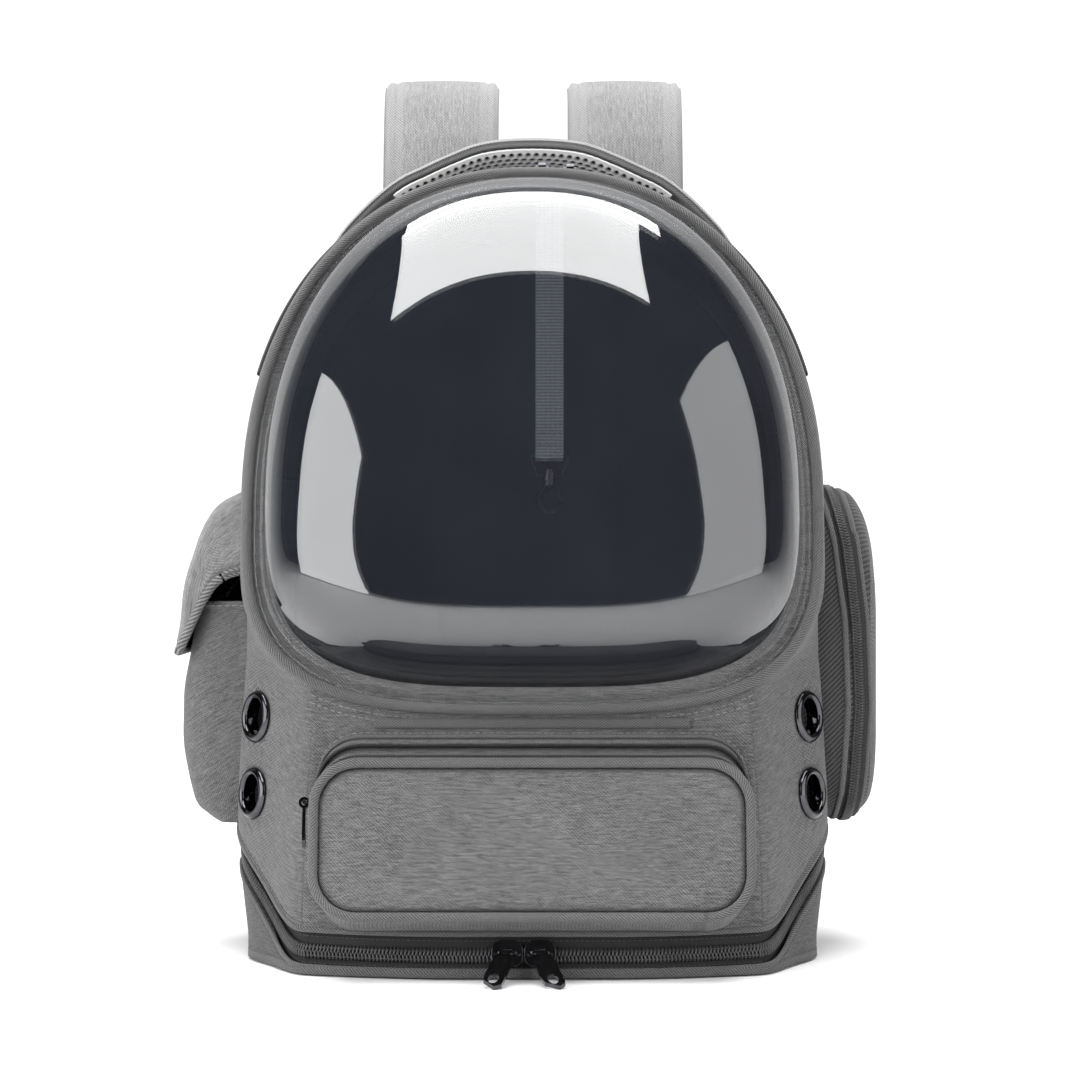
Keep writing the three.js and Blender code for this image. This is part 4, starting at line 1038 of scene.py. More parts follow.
def make_bubble():
    """Outer face, flange, underside and inner face; smoke thins out towards the edge."""
    count, seat = 144, 0.3

    def ring(margin, share, lift):
        found = []
        for x, z in bubble_outline(margin, count):
            rise = (z - B_MIDDLE) * share
            found.append(in_front(x * share, lift + dome_height(share, rise), B_MIDDLE + rise))
        return found

    shares = [math.sin(t * math.pi / 2) for t in spaced(0.02, 1.0, 40)][:-1] + [0.9995, 1.0]
    top = B_THICK + seat
    flange = [(0.15, 0.9), (0.5, 0.35), (1.1, 0.05), (2.5, 0.0), (4.5, 0.0), (5.7, -0.2), (6.0, -0.7)]
    layers = [(ring(-B_FLANGE, share, top), share, B_SMOKE) for share in shares]
    layers += [(ring(-B_FLANGE + out, 1, top + up), 1.0, B_SMOKE) for out, up in flange]
    layers += [
        (ring(margin, 1, seat + up), 1.0, B_SMOKE)
        for margin, up in ((0, 0.2), (-2.0, 0), (-B_FLANGE - B_THICK + 1.0, 0))
    ]
    layers += [(ring(-B_FLANGE - B_THICK, share, seat), share, B_SMOKE_INNER) for share in shares[::-1]]
    verts = [p for row, _, _ in layers for p in row]
    faces = grid_faces(len(layers), count, True, flip=True)
    faces.append(tuple(range(count)))
    faces.append(tuple((len(layers) - 1) * count + j for j in reversed(range(count))))
    tint = []
    for row, share, smoke in layers:
        tint += [mix(smoke, B_SMOKE_RIM, ease(0.985, 1.0, share))] * len(row)
    return add_piece(
        "bubble_window", verts, faces, WINDOW, "smoked_window", extra={"tint": tint}, replaces=["bubble"],
    )


def make_bubble_piping():
    path = [in_front(x, PIPE + 0.2, z) for x, z in bubble_outline(PIPE + 0.3, 360)]
    path = resample(path, 2.6, True)
    cord = [(1.15 * o - 0.2 if o > 0 else o, a) for o, a in round_section(PIPE, PIPE, 14)]
    sweep_piece(
        "bubble_piping_cord", path, [FRONT_OUT] * len(path), cord, BIAS, "grey_oxford", closed=True,
        replaces=["bubble_piping"],
    )


def make_bubble_stitches():
    """Two rows on the front panel below the bubble."""
    for tag, margin in (("near", 8.2), ("far", 11.4)):
        flat = [in_front(x, 0, z) for x, z in bubble_outline(margin, 420)]
        line = [front_point(p.x, p.z, 0.15) for p in flat]
        line = [p for p in line if p.z < 200 and abs(p.x) < front_half(p.z) - 4]
        line.sort(key=lambda p: math.atan2(-p.x, SPRING - p.z))
        stitch_piece(f"bubble_stitches_{tag}", [(line, [FRONT_OUT] * len(line))])


make_bubble()
make_bubble_piping()
make_bubble_stitches()

# ---------------------------------------------------------------- zips


def tape_section(half, lift, thick=0.9, steps=5):
    top = [(lift, a) for a in spaced(-half, half, steps)]
    return top + [(lift - thick, a) for _, a in reversed(top)]


def zip_path(shift=0.0, lift=0.0):
    """Round the base, from its left rear over the front to its right rear."""
    path, outs = [], []
    half = len(COLUMNS) // 2
    order = sorted((i for i, c in enumerate(COLUMNS) if c[0] != "back"), key=lambda i: (i < half, i))
    for i in order:
        height = at_zip(COLUMNS[i], shift)
        p = ring_point(COLUMNS[i], height)
        if p.y > BACK - ZIP["end"]:
            continue
        out = ring_out(i, height)
        path.append(p + out * lift)
        outs.append(out)
    return path, outs


def cord(name, line, step, section, material=BIAS, slot="grey_oxford", **more):
    """A section carried along a line and its outward directions, after even steps."""
    path, outs = resample(line[0], step, False, [line[1]])
    sweep_piece(name, path, outs, section, material, slot, **more)
    return path, outs


def make_base_zip():
    path, outs = cord(
        "base_zip_tape_cloth", zip_path(), 2.0, tape_section(11.2, -WALL - 0.1), TAPE, "dark_webbing",
        replaces=["base_zip_tape"],
    )
    coil_piece("base_zip_teeth", path, outs, 3.4, 2.5, 1.9, replaces=["base_zip_coil"], lift=-WALL)
    for k, shift in enumerate((7.2, -6.0)):
        stitch_piece(
            f"base_tape_stitches_{k + 1}", [zip_path(shift, -WALL + 0.05)], DARK_THREAD, 2.6, 1.9, 0.22,
            slot="dark_webbing",
        )
    # the folded edges of the cloth on both sides of the zip
    for tag, shift in (("upper", ZIP["above"] + 1.2), ("lower", -ZIP["below"] - 1.0)):
        cord(f"base_seam_{tag}", zip_path(shift, -0.3), 3.0, round_section(1.05, 1.55, 10))
    for tag, shift in (("upper", ZIP["above"] + 4.6), ("lower", -ZIP["below"] - 3.2)):
        stitch_piece(f"base_cloth_stitches_{tag}", [zip_path(shift, 0.05)], DARK_THREAD, 3.0, 2.1, 0.22)


make_base_zip()

# ---------------------------------------------------------------- top zip

TOP_BEHIND, TOP_LOW = 16.0, 300.0


def top_zip_path():
    """Along the strip behind the bubble's rim, a set way behind the front plane."""

    def u_for(level, side):
        low, high = 0.0, 5.0
        for _ in range(22):
            u = (low + high) / 2
            p = side_point(level, u, side)
            if -(p - Vector((0, FRONT, 0))).dot(FRONT_OUT) < TOP_BEHIND:
                low = u
            else:
                high = u
        return (low + high) / 2

    path, outs = [], []
    levels = spaced(SPRING + 40, TOP_LEVEL - 0.5, 110)
    for side, run in ((-1, levels), (1, levels[::-1])):
        for level in run:
            u = u_for(level, side)
            p = side_point(level, u, side)
            if p.z >= TOP_LOW:
                path.append(p)
                outs.append(side_normal(min(level, TOP_LEVEL - 3), u, side))
    return path, outs


def make_top_zip():
    path, outs = cord(
        "top_zip_tape_cloth", top_zip_path(), 2.0, tape_section(6.4, 0.45), TAPE, "dark_webbing",
        replaces=["top_zip_tape"],
    )
    coil_piece("top_zip_teeth", path, outs, 2.9, 1.5, 1.5, replaces=["top_zip_coil"], lift=0.2)


make_top_zip()

# ---------------------------------------------------------------- front pocket

PF_HALF, PF_ROOT_TOP, PF_ROOT_BOTTOM = 105.5, 119.5, 24.0
PF_FACE_TOP, PF_FACE_BOTTOM, PF_CORNER, PF_THICK = 100.0, 29.0, 20.0, 22.0
PF_CLOTH, PF_ZIP_AT, PF_ZIP_FOOT, PF_FACE_INSET = 2.0, 0.45, 52.0, 1.6


def rounded_rect(left, right, bottom, top, corner, per_corner=10, per_side=24):
    """Anticlockwise from the lower right corner's start, with points along the straight sides too."""
    pts = []
    corners = [(right, bottom, 1, -1), (right, top, 1, 1), (left, top, -1, 1), (left, bottom, -1, -1)]
    for k, (x, z, sx, sz) in enumerate(corners):
        for i in range(per_corner + 1):
            a = (k - 1 + i / per_corner) * math.pi / 2
            pts.append(Vector((x + corner * (math.cos(a) - sx), z + corner * (math.sin(a) - sz))))
    full = []
    for i, p in enumerate(pts):
        full.append(p)
        if i % (per_corner + 1) == per_corner:
            q = pts[(i + 1) % len(pts)]
            full += [p.lerp(q, t) for t in spaced(0, 1, per_side + 2)[1:-1]]
    return full


def pocket_ring(share, inset, lift):
    """The pocket's outline at a share of its thickness, from the body to the face."""
    top = mix(PF_ROOT_TOP, PF_FACE_TOP, share) * SLOPE
    bottom = mix(PF_ROOT_BOTTOM, PF_FACE_BOTTOM, share) * SLOPE
    pts = rounded_rect(
        -PF_HALF + inset, PF_HALF - inset, bottom + inset, top - inset, max(PF_CORNER - inset, 1.0),
    )
    return [in_front(p.x, lift, p.y) for p in pts]


def body_depth(p):
    """How far off the front plane the body's own face is at a point, as the ring meets it."""
    return (front_point(p.x, p.z) - p).dot(FRONT_OUT)


def make_pocket_side():
    base_ring = pocket_ring(0, 0, 0)
    rows = [[p + FRONT_OUT * (body_depth(p) - 1.0) for p in base_ring]]
    rows.append([p + FRONT_OUT * max(body_depth(p) * 0.4, -7.0) for p in base_ring])
    for t in (0.08, 0.2, 0.35, 0.5, 0.65, 0.8, 0.92, 1.0):
        rows.append(pocket_ring(t, -0.5 * math.sin(math.pi * t), PF_THICK * t))
    gusset = grid_piece(
        "front_pocket_side", rows, [OXFORD, LINING], "grey_oxford", close_u=True,
        replaces=["front_pocket_gusset"],
    )
    solidify(gusset, PF_CLOTH, 1)


def pocket_line(share, inset, lift, foot):
    """The pocket's ring from one foot over the top to the other."""
    ring = pocket_ring(share, inset, lift)
    first = next(i for i, p in enumerate(ring) if p.z > foot and ring[i - 1].z <= foot)
    run = [p for p in ring[first:] + ring[:first] if p.z > foot]
    middle = in_front(0, 0, 72 * SLOPE)
    outs = []
    for i, p in enumerate(run):
        a, b = run[max(i - 1, 0)], run[min(i + 1, len(run) - 1)]
        out = (b - a).cross(-FRONT_OUT).normalized()
        if out.dot(p - middle) < 0:
            out = -out
        outs.append(out)
    return run, outs


def make_pocket_zip():
    path, outs = cord(
        "front_pocket_zip_tape", pocket_line(PF_ZIP_AT, 0, PF_THICK * PF_ZIP_AT, PF_ZIP_FOOT), 1.8,
        tape_section(4.9, 0.75, 0.7), TAPE, "dark_webbing", replaces=["front_pocket_zip"],
    )
    coil_piece("front_pocket_zip_teeth", path, outs, 2.7, 1.4, 1.5, lift=0.6)
    for tag, at in (("rear", PF_ZIP_AT - 0.27), ("front", PF_ZIP_AT + 0.27)):
        line = pocket_line(at, -0.5, PF_THICK * at, PF_ZIP_FOOT - 2)
        cord(f"front_pocket_lip_{tag}", line, 2.4, round_section(0.85, 1.7, 10, 0.35))
    line = pocket_line(0.05, -0.9, PF_THICK * 0.05, 60)
    stitch_piece("front_pocket_stitches", [line], THREAD, 3.4, 2.4, 0.27)


def make_pocket_face():
    """The padded face: a sheet fixed round its edge that is blown up a little, then set."""
    cols, lines = 74, 34
    top, bottom = PF_FACE_TOP * SLOPE - PF_FACE_INSET, PF_FACE_BOTTOM * SLOPE + PF_FACE_INSET
    half, corner = PF_HALF - PF_FACE_INSET, PF_CORNER - PF_FACE_INSET
    lift = PF_THICK + 0.3
    verts, cloth, edge = [], [], []
    for i in range(lines):
        for j in range(cols):
            s, t = mix(-1, 1, j / (cols - 1)), mix(-1, 1, i / (lines - 1))
            x, z = s * half, mix(bottom, top, (t + 1) / 2)
            rise = z - (top + bottom) / 2
            dx = max(abs(x) - (half - corner), 0)
            dz = max(abs(rise) - ((top - bottom) / 2 - corner), 0)
            if dx and dz:
                scale = max(dx, dz) / math.hypot(dx, dz)
                x -= math.copysign(dx * (1 - scale), x)
                z -= math.copysign(dz * (1 - scale), rise)
            verts.append(in_front(x, lift + 1.2, z))
            cloth.append((x, z))
            if i in (0, lines - 1) or j in (0, cols - 1):
                edge.append(i * cols + j)
    faces = grid_faces(lines, cols)
    piece = add_piece(
        "front_pocket_pad", verts, faces, [OXFORD, OXFORD], "grey_oxford", cloth=cloth,
        replaces=["front_pocket_face"],
    )
    flat = [v.co.copy() for v in piece.data.vertices]
    out, held = FRONT_OUT, set(edge)
    group = piece.vertex_groups.new(name="held")
    group.add(edge, 1.0, "REPLACE")
    mod = piece.modifiers.new("cloth", "CLOTH")
    settings = mod.settings
    settings.quality = 6
    settings.mass = 0.25
    settings.use_pressure = True
    settings.uniform_pressure_force = 3.0
    settings.vertex_group_mass = "held"
    settings.tension_stiffness = 14
    settings.compression_stiffness = 14
    settings.bending_stiffness = 2.0
    settings.shrink_min = -0.012
    settings.effector_weights.gravity = 0
    mod.collision_settings.use_collision = False
    scene = bpy.context.scene
    for number in range(1, 21):
        scene.frame_set(number)
    found = piece.evaluated_get(bpy.context.evaluated_depsgraph_get()).to_mesh()
    moved = [v.co.copy() for v in found.vertices]
    scene.frame_set(1)
    piece.modifiers.remove(mod)
    for i, v in enumerate(piece.data.vertices):
        s, t = (i % cols) / (cols - 1) * 2 - 1, (i // cols) / (lines - 1) * 2 - 1
        crown = (1 - s**4) * (1 - t**4)
        shift = moved[i] - flat[i]
        lift_by = clamp(shift.dot(out) * 1000, -0.5, 5.0)
        slide = shift - out * shift.dot(out)
        if slide.length > 0.001:
            slide *= 0.001 / slide.length
        if i in held:
            lift_by, slide = -0.8, Vector()
        v.co = flat[i] + slide + out * (MM * (0.35 * lift_by + 3.0 * crown ** 0.5 - 0.4))
    solidify(piece, 2.2, 1)
    return piece


def make_pocket_piping():
    ring = resample(pocket_ring(1, -1.4, PF_THICK + 0.3 + 2.1), 2.2, True)
    sweep_piece(
        "front_pocket_piping_cord", ring, [FRONT_OUT] * len(ring), round_section(2.35, 2.35, 14), BIAS,
        "grey_oxford", closed=True, replaces=["front_pocket_piping"],
    )


make_pocket_side()
make_pocket_zip()
make_pocket_face()
make_pocket_piping()

# ---------------------------------------------------------------- eyelets

# An eyelet's section: radius and height over the cloth.
EYELET = [
    (9.0, -5.2), (9.0, -1.0), (9.05, 1.0), (9.35, 2.0), (9.9, 2.7), (10.7, 3.05), (11.5, 3.0), (12.3, 2.6),
    (13.0, 1.9), (13.4, 1.2), (13.5, 0.75), (13.4, 0.6), (9.9, 0.6), (9.9, -5.2),
]


def make_eyelet(name, middle, across, up, out, count=72):
    verts = []
    for k in range(count):
        a = 2 * math.pi * k / count
        way = across * math.cos(a) + up * math.sin(a)
        verts += [middle + way * r + out * z for r, z in EYELET]
    add_piece(
        f"eyelet_{name}_ring", verts, grid_faces(count, len(EYELET), True, True), NICKEL, "black_nickel",
        replaces=[f"eyelet_{name}"],
    )


for name, place in zip(("left_upper", "left_lower", "right_upper", "right_lower"), eyelet_places()):
    make_eyelet(name, *place)

# ---------------------------------------------------------------- side pockets

PS_FRONT, PS_BACK, PS_BOTTOM, PS_CORNER = -20.0, 80.0, 69.0, 16.0
POUCH_MOUTH, POUCH_THICK = 184.0, 28.0
# share of the pouch's height and of its thickness
POUCH_ROWS = [
    (0, 0.28), (0.03, 0.52), (0.08, 0.75), (0.15, 0.86), (0.24, 0.95), (0.36, 1), (0.52, 1), (0.66, 0.96),
    (0.8, 0.87), (0.9, 0.78), (1, 0.68),
]


def smooth_rows(table, steps):
    line = spline([Vector((a, b, 0)) for a, b in table], 8)
    return [(p.x, p.y) for p in resample(line, length_of(line) / steps)]


def pouch_ring(z, out):
    """The pouch's outline at one height, from the body round its face and back."""
    face = HALF + POUCH_THICK * out
    corner = max(min(PS_CORNER, POUCH_THICK * out), 1.0)
    front, back, root = PS_FRONT, PS_BACK, HALF - 12
    pts = [(root, front)]
    pts += [(mix(root, face - corner, t), front) for t in spaced(0, 1, 5)[1:]]
    for i in range(1, 9):
        a = -math.pi / 2 + i / 8 * math.pi / 2
        pts.append((face - corner + corner * math.cos(a), front + corner + corner * math.sin(a)))
    for t in spaced(0, 1, 18)[1:-1]:
        y = mix(front + corner, back - corner, t)
        pts.append((face + 0.8 * math.sin(math.pi * t), y))
    for i in range(0, 9):
        a = i / 8 * math.pi / 2
        pts.append((face - corner + corner * math.cos(a), back - corner + corner * math.sin(a)))
    pts += [(mix(face - corner, root, t), back) for t in spaced(0, 1, 5)[1:]]
    return [Vector((-x, y, z)) for x, y in pts]


def make_pouch():
    rows = []
    for share, out in smooth_rows(POUCH_ROWS, 54):
        z = mix(PS_BOTTOM, POUCH_MOUTH, clamp(share))
        ring = pouch_ring(z, out)
        for p in ring:
            slack = math.sin(p.z * 0.09 + p.y * 0.05) * 0.35 + math.sin(p.z * 0.21 - p.y * 0.08) * 0.2
            p.x += slack if p.x < -HALF else 0
        rows.append(ring)
    bottom = [[Vector((mix(-HALF + 8, p.x, k), p.y, PS_BOTTOM)) for p in rows[0]] for k in (0.25, 0.6)]
    rows = bottom + rows
    piece = grid_piece(
        "side_pocket_left_cloth", rows, [OXFORD, LINING], "grey_oxford", flip=True,
        replaces=["side_pocket_left"],
    )
    solidify(piece, 2.0, 1)
    top = rows[-1]
    outs = []
    for i, p in enumerate(top):
        a, b = top[max(i - 1, 0)], top[min(i + 1, len(top) - 1)]
        out = (b - a).cross(Vector((0, 0, 1))).normalized()
        outs.append(out)
    flip = -1 if outs[len(outs) // 2].x > 0 else 1
    outs = [o * flip for o in outs]
    path = [p + Vector((0, 0, -2.0)) for p in top]
    path, outs = cord("side_pocket_left_hem", (path, outs), 2.5, flat_section(-2.1, 0.7, 2.2, 0.6), OXFORD)
    line = [p + o * 0.9 + Vector((0, 0, -0.2)) for p, o in zip(path, outs)]
    stitch_piece("side_pocket_left_stitches", [(line, outs)], THREAD, 4.0, 2.9, 0.3)


make_pouch()

ZP_TOP, ZP_CORNER, ZP_THICK, ZP_ZIP_END = 243.0, 34.0, 25.0, 14.0
# height, and how far the zip stands out there
ZP_ZIP_ROWS = [(55, 8), (85, 12), (130, 15), (175, 13.2), (215, 8), (243, 1.5), (255, 0)]
# share of the pocket's thickness, and how far its outline draws in there
ZP_STEPS = [(0, 0), (0.45, 0.5), (0.75, 5), (0.93, 11), (1, 17)]
ZP_DRAW = ZP_STEPS[-1][1]


def zp_outline(draw):
    return rounded_rect(
        PS_FRONT + 0.7 * draw, PS_BACK - 0.7 * draw, PS_BOTTOM + 0.8 * draw, ZP_TOP - 2 * draw, ZP_CORNER,
        12, 16,
    )


def zp_ring(x_out, draw):
    return [Vector((HALF + x_out, p.x, p.y)) for p in zp_outline(draw)]


def make_zip_pocket():
    rows = [zp_ring(-14, 0)]
    for share, draw in smooth_rows([(s, d / ZP_DRAW) for s, d in ZP_STEPS], 26):
        rows.append(zp_ring(ZP_THICK * clamp(share), draw * ZP_DRAW))
    last = rows[-1]
    middle = sum(last, Vector()) / len(last)
    for k in (0.9, 0.72, 0.45, 0.2, 0.0):
        rows.append([middle.lerp(p, k) + Vector((0.6 * (1 - k * k), 0, 0)) for p in last])
    piece = grid_piece(
        "side_pocket_right_cloth", rows, [OXFORD, LINING, GUSSET_PAINTED_SHADE], "grey_oxford", close_u=True,
        replaces=["side_pocket_right"],
    )
    # the side walls take the darker cloth: painted shade
    for face in piece.data.polygons:
        if face.center.x / MM < HALF + ZP_THICK - 3.5:
            face.material_index = 2
    solidify(piece, 2.0, 1)


def zp_line(shift, lift):
    """Along the zipped pocket's zip: up its front, over its top and a little down its rear."""
    mid_y, mid_z = 30, 156

    def turn(p):
        return (math.atan2(p.y - mid_z, p.x - mid_y) + 2 * math.pi) % (2 * math.pi)

    def on_zip(p):
        return p.x < PS_BACK - ZP_ZIP_END and not (p.y < PS_BOTTOM + 3 and p.x > mid_y)

    line, outs = [], []
    for p in sorted(filter(on_zip, zp_outline(0)), key=turn):
        out = lookup(ZP_ZIP_ROWS, p.y) + shift
        ring = zp_outline(lookup(ZP_STEPS, out / ZP_THICK))
        q = min(ring, key=lambda r: (r - p).length)
        line.append(Vector((HALF + out, q.x, q.y)))
    middle = Vector((HALF, mid_y, mid_z))
    for i, p in enumerate(line):
        a, b = line[max(i - 1, 0)], line[min(i + 1, len(line) - 1)]
        out = (b - a).cross(Vector((1, 0, 0)))
        out = out.normalized() if out.length > 1e-6 else Vector((0, -1, 0))
        away = p - middle
        away.x = 0
        if out.dot(away) < 0:
            out = -out
        outs.append((out + Vector((0.12, 0, 0))).normalized())
    return [p + o * lift for p, o in zip(line, outs)], outs


def make_zip_pocket_zip():
    line, outs = zp_line(0, 0)
    path, outs = cord(
        "side_pocket_right_tape", (line[::-1], outs[::-1]), 1.8, tape_section(5.4, 0.65, 0.7), TAPE,
        "dark_webbing", replaces=["side_pocket_right_zip"],
    )
    coil_piece("side_pocket_right_teeth", path, outs, 2.8, 1.5, 1.5, lift=0.5)
    for tag, shift in (("inner", -5.8), ("outer", 5.8)):
        cord(f"side_pocket_right_lip_{tag}", zp_line(shift, 0.3), 2.4, round_section(0.9, 1.6, 10, 0.2))


make_zip_pocket()
make_zip_pocket_zip()

# ---------------------------------------------------------------- flap

FLAP_TOP, FLAP_REACH, FLAP_DROP, FLAP_THICK, FLAP_OVER, FLAP_CORD = 242.0, 35.0, 82.0, 2.4, 5.0, 1.7
FLAP_CORNER, FLAP_SKIRT = 7.0, 168.0
# shares of the flap's reach and drop: its top line, then its lower edge
FLAP_ROWS = [
    (-0.6, 0), (0, 0), (0.38, 0.09), (0.56, 0.19), (0.66, 0.28), (0.74, 0.38), (0.82, 0.48), (0.88, 0.57),
    (0.92, 0.67), (0.94, 0.77), (0.96, 0.86), (0.99, 0.95), (1, 1),
]
FLAP_END = [(0.98, 1), (0.6, 0.66), (0.42, 0.555), (0.12, 0.49), (-0.6, 0.47)]


def flap_place(out, down):
    return Vector((-(HALF - 5 + out * FLAP_REACH), 0, FLAP_TOP - down * FLAP_DROP))


def make_flap():
    """A curved lid with short skirts at its front and rear, bound along its lower edge."""
    top = spline([flap_place(*r) for r in FLAP_ROWS[1:]], 8)
    top = resample(top, length_of(top) / 44)
    low = spline([flap_place(*r) for r in FLAP_END], 8)[::-1]
    low = [p for p in resample(low, length_of(low) / 44) if p.x <= -(HALF - 6)]
    low = resample(low, length_of(low) / 44)
    front, back = PS_FRONT - FLAP_OVER, PS_BACK + FLAP_OVER
    rows = []
    count = len(top)
    for i, t in enumerate(top):
        down = low[min(i, len(low) - 1)] - t
        size = max(down.length, 0.01)
        r = min(FLAP_CORNER, size)
        way = down / size
        end = [t + way * (r + (size - r) * k) for k in spaced(1, 0, 7)]
        row = [Vector((p.x, front, p.z)) for p in end]
        for k in range(1, 7):
            a = k / 6 * math.pi / 2
            q = t + way * (r * (1 - math.sin(a)))
            row.append(Vector((q.x, front + r * (1 - math.cos(a)), q.z)))
        for k in spaced(0, 1, 26)[1:-1]:
            y = mix(front + r, back - r, k)
            sag = 0.8 * math.sin(math.pi * k) * math.sin(math.pi * i / (count - 1))
            row.append(Vector((t.x - 0.5 * sag, y, t.z + 0.4 * sag)))
        for k in range(6, 0, -1):
            a = k / 6 * math.pi / 2
            q = t + way * (r * (1 - math.sin(a)))
            row.append(Vector((q.x, back - r * (1 - math.cos(a)), q.z)))
        skirt = min(t.z - 4, FLAP_SKIRT)
        for k, p in enumerate(reversed(end)):
            row.append(Vector((p.x, back, mix(p.z, min(p.z, skirt), k / (len(end) - 1)))))
        rows.append(row)
    # the flap's outer face takes the lighter cloth: painted light
    piece = grid_piece(
        "side_flap_left_cloth", rows, [FLAP_CLOTH_PAINTED_LIGHT, LINING], "grey_oxford", replaces=["side_flap_left"],
    )
    solidify(piece, FLAP_THICK, 1)
    line = [p + Vector((0.35, 0, -1.15)) * FLAP_CORD for p in low]
    path = [Vector((p.x, front + 1.0, p.z)) for p in line]
    path += [Vector((line[-1].x, y, line[-1].z)) for y in spaced(front + 3, back - 3, 40)]
    path += [Vector((p.x, back - 1.0, p.z)) for p in reversed(line)]
    path = resample(path, 1.6)
    outs = [Vector((-1, 0, -0.6))] * len(path)
    sweep_piece(
        "side_flap_left_cord", path, outs, round_section(2.5, 2.1, 12), BINDING, "grey_oxford",
        replaces=["side_flap_left_binding"],
    )
    return piece


make_flap()

# ---------------------------------------------------------------- welt and foot binding


WELT = {"half": 79.0, "height": 124.2, "half_high": 2.6, "lift": 0.9, "half_thick": 0.95}


def make_welt(sides=10, steps=90):
    verts, cloth = [], []
    for x in spaced(-WELT["half"], WELT["half"], steps):
        for k in range(sides):
            a = 2 * math.pi * (k + 0.5) / sides
            z = WELT["height"] + WELT["half_high"] * math.cos(a)
            verts.append(front_point(x, z, WELT["lift"] + WELT["half_thick"] * math.sin(a)))
            cloth.append((x, 2.0 * k))
    faces = grid_faces(steps, sides, True)
    faces += [tuple(range(sides))[::-1], tuple((steps - 1) * sides + k for k in range(sides))]
    add_piece("front_welt_strip", verts, faces, BIAS, "grey_oxford", cloth=cloth, replaces=["front_welt"])


def make_base_binding():
    outs = [ring_out(i, 8.0) for i in range(len(COLUMNS))]
    path = [ring_point(column, 3.2) + out * 0.5 for column, out in zip(COLUMNS, outs)]
    sweep_piece(
        "base_binding_tape", path, outs, flat_section(-0.7, 0.8, 2.4, 0.5), BIAS, "grey_oxford",
        closed=True, replaces=["base_binding"],
    )


make_welt()
make_base_binding()

# ---------------------------------------------------------------- handle

H_MIDDLE, H_SPAN, H_WIDTH, H_THICK, H_LINING = 42.0, 104.0, 40.0, 9.0, 3.0
H_CROWN, H_ROOT, H_LEAN, H_LINING_SPAN = 424.0, 364.0, 0.2, 74.0
NET_PITCH, NET_ROW, NET_HOLE, NET_SWELL = 4.5, 3.7, 1.45, 4.0
# share of half the span and of the height over the roots
H_ROWS = [
    (0, 1), (0.24, 0.965), (0.385, 0.875), (0.53, 0.76), (0.63, 0.675), (0.75, 0.51), (0.865, 0.3),
    (0.95, 0.1), (1, 0),
]
PAD_GROOVE, PAD_COUNT = 6.2, 15


def handle_path(reach):
    right = [Vector((x * H_SPAN, H_MIDDLE, mix(H_ROOT, H_CROWN, z))) for x, z in H_ROWS]
    left = [Vector((-p.x, p.y, p.z)) for p in right[:0:-1]]
    line = resample(spline(left + right, 14), 1.5)
    return [p for p in line if abs(p.x) < reach]


def pad_section(low, high, half, crown, rib=2.6):
    """A padded strap's section: a crown between two bound edges, each behind a sewn groove."""
    top, under = [], []
    for t in spaced(-1, 1, 2 * PAD_COUNT + 1):
        a = t * half
        edge = half - abs(a)
        swell = crown * (1 - abs(t) ** 2.2)
        groove = 0.9 * math.exp(-(((edge - PAD_GROOVE) / 1.1) ** 2))
        fall = (1 - clamp(edge / rib)) ** 2 * (high - low) * 0.42
        top.append((high - crown + swell - groove - fall, a))
        under.append((low + crown - swell + groove + fall, a))
    return top + under[::-1]


def pad_edge_index(j):
    """1 on the columns of a padded section that are its bound edges."""
    per = 2 * PAD_COUNT + 1
    return 1 if j % per < 5 or j % per >= per - 6 else 0


def make_handle_pad():
    line = handle_path(H_SPAN)
    outs = [Vector((0, math.sin(H_LEAN), math.cos(H_LEAN)))] * len(line)
    low, high = -H_THICK / 2 + H_LINING + 0.2, H_THICK / 2
    top = sweep_piece(
        "carry_handle_pad", line, outs, pad_section(low, high, H_WIDTH / 2, 0.9), [STRAP_PAINTED_LIGHT, STRAP_EDGE_PAINTED_LIGHT],
        "light_grey_cloth", index_of=pad_edge_index, replaces=["carry_handle"],
    )
    for tag, a in (("front", -H_WIDTH / 2 + PAD_GROOVE), ("rear", H_WIDTH / 2 - PAD_GROOVE)):
        turns = frames(line, outs)
        path = [p + out * (high - 0.55) + across * a for p, (_, out, across) in zip(line, turns)]
        stitch_piece(
            f"carry_handle_stitches_{tag}", [(path, outs)], THREAD, 3.4, 2.4, 0.26, slot="light_grey_cloth",
        )


def make_handle_mesh():
    """The air mesh: a swelling net whose holes are pressed into the sheet, and painted dark there as painted
    shade.
    """
    line = resample(handle_path(H_LINING_SPAN), 0.55)
    outs = [Vector((0, math.sin(H_LEAN), math.cos(H_LEAN)))] * len(line)
    half = H_WIDTH / 2 - 2
    low = -H_THICK / 2
    verts, cloth, hole_shade = [], [], []
    run = 0.0
    across_at = spaced(-half, half, 66)
    for i, (p, (_, out, across)) in enumerate(zip(line, frames(line, outs))):
        if i:
            run += (p - line[i - 1]).length
        for a in across_at:
            row_n = round(a / NET_ROW)
            shift = 0.5 * (row_n % 2)
            col = run / NET_PITCH - shift
            du = (col - round(col)) * NET_PITCH
            dv = a - row_n * NET_ROW
            hole = math.exp(-(((du / NET_HOLE) ** 2 + (dv / NET_HOLE) ** 2) ** 1.5))
            ends = ease(0, 3, half - abs(a))
            swell = NET_SWELL * (1 - (a / half) ** 2)
            verts.append(p + out * (low + 0.1 - swell + 1.5 * hole * ends + 1.2 * (1 - ends)) + across * a)
            cloth.append((run, a))
            # 0 down a hole: there the material paints shade
            hole_shade.append(1 - hole * ends)
    lining = add_piece(
        "carry_handle_mesh", verts, grid_faces(len(line), len(across_at)), [AIR_MESH, AIR_MESH], "air_mesh",
        cloth=cloth, extra={"hole_shade": hole_shade}, replaces=["carry_handle_lining"],
    )
    # seen from below, so the sheet's face is on its low side
    solidify(lining, 1.3, 1, 1.0)


make_handle_pad()
make_handle_mesh()

# ---------------------------------------------------------------- shoulder straps

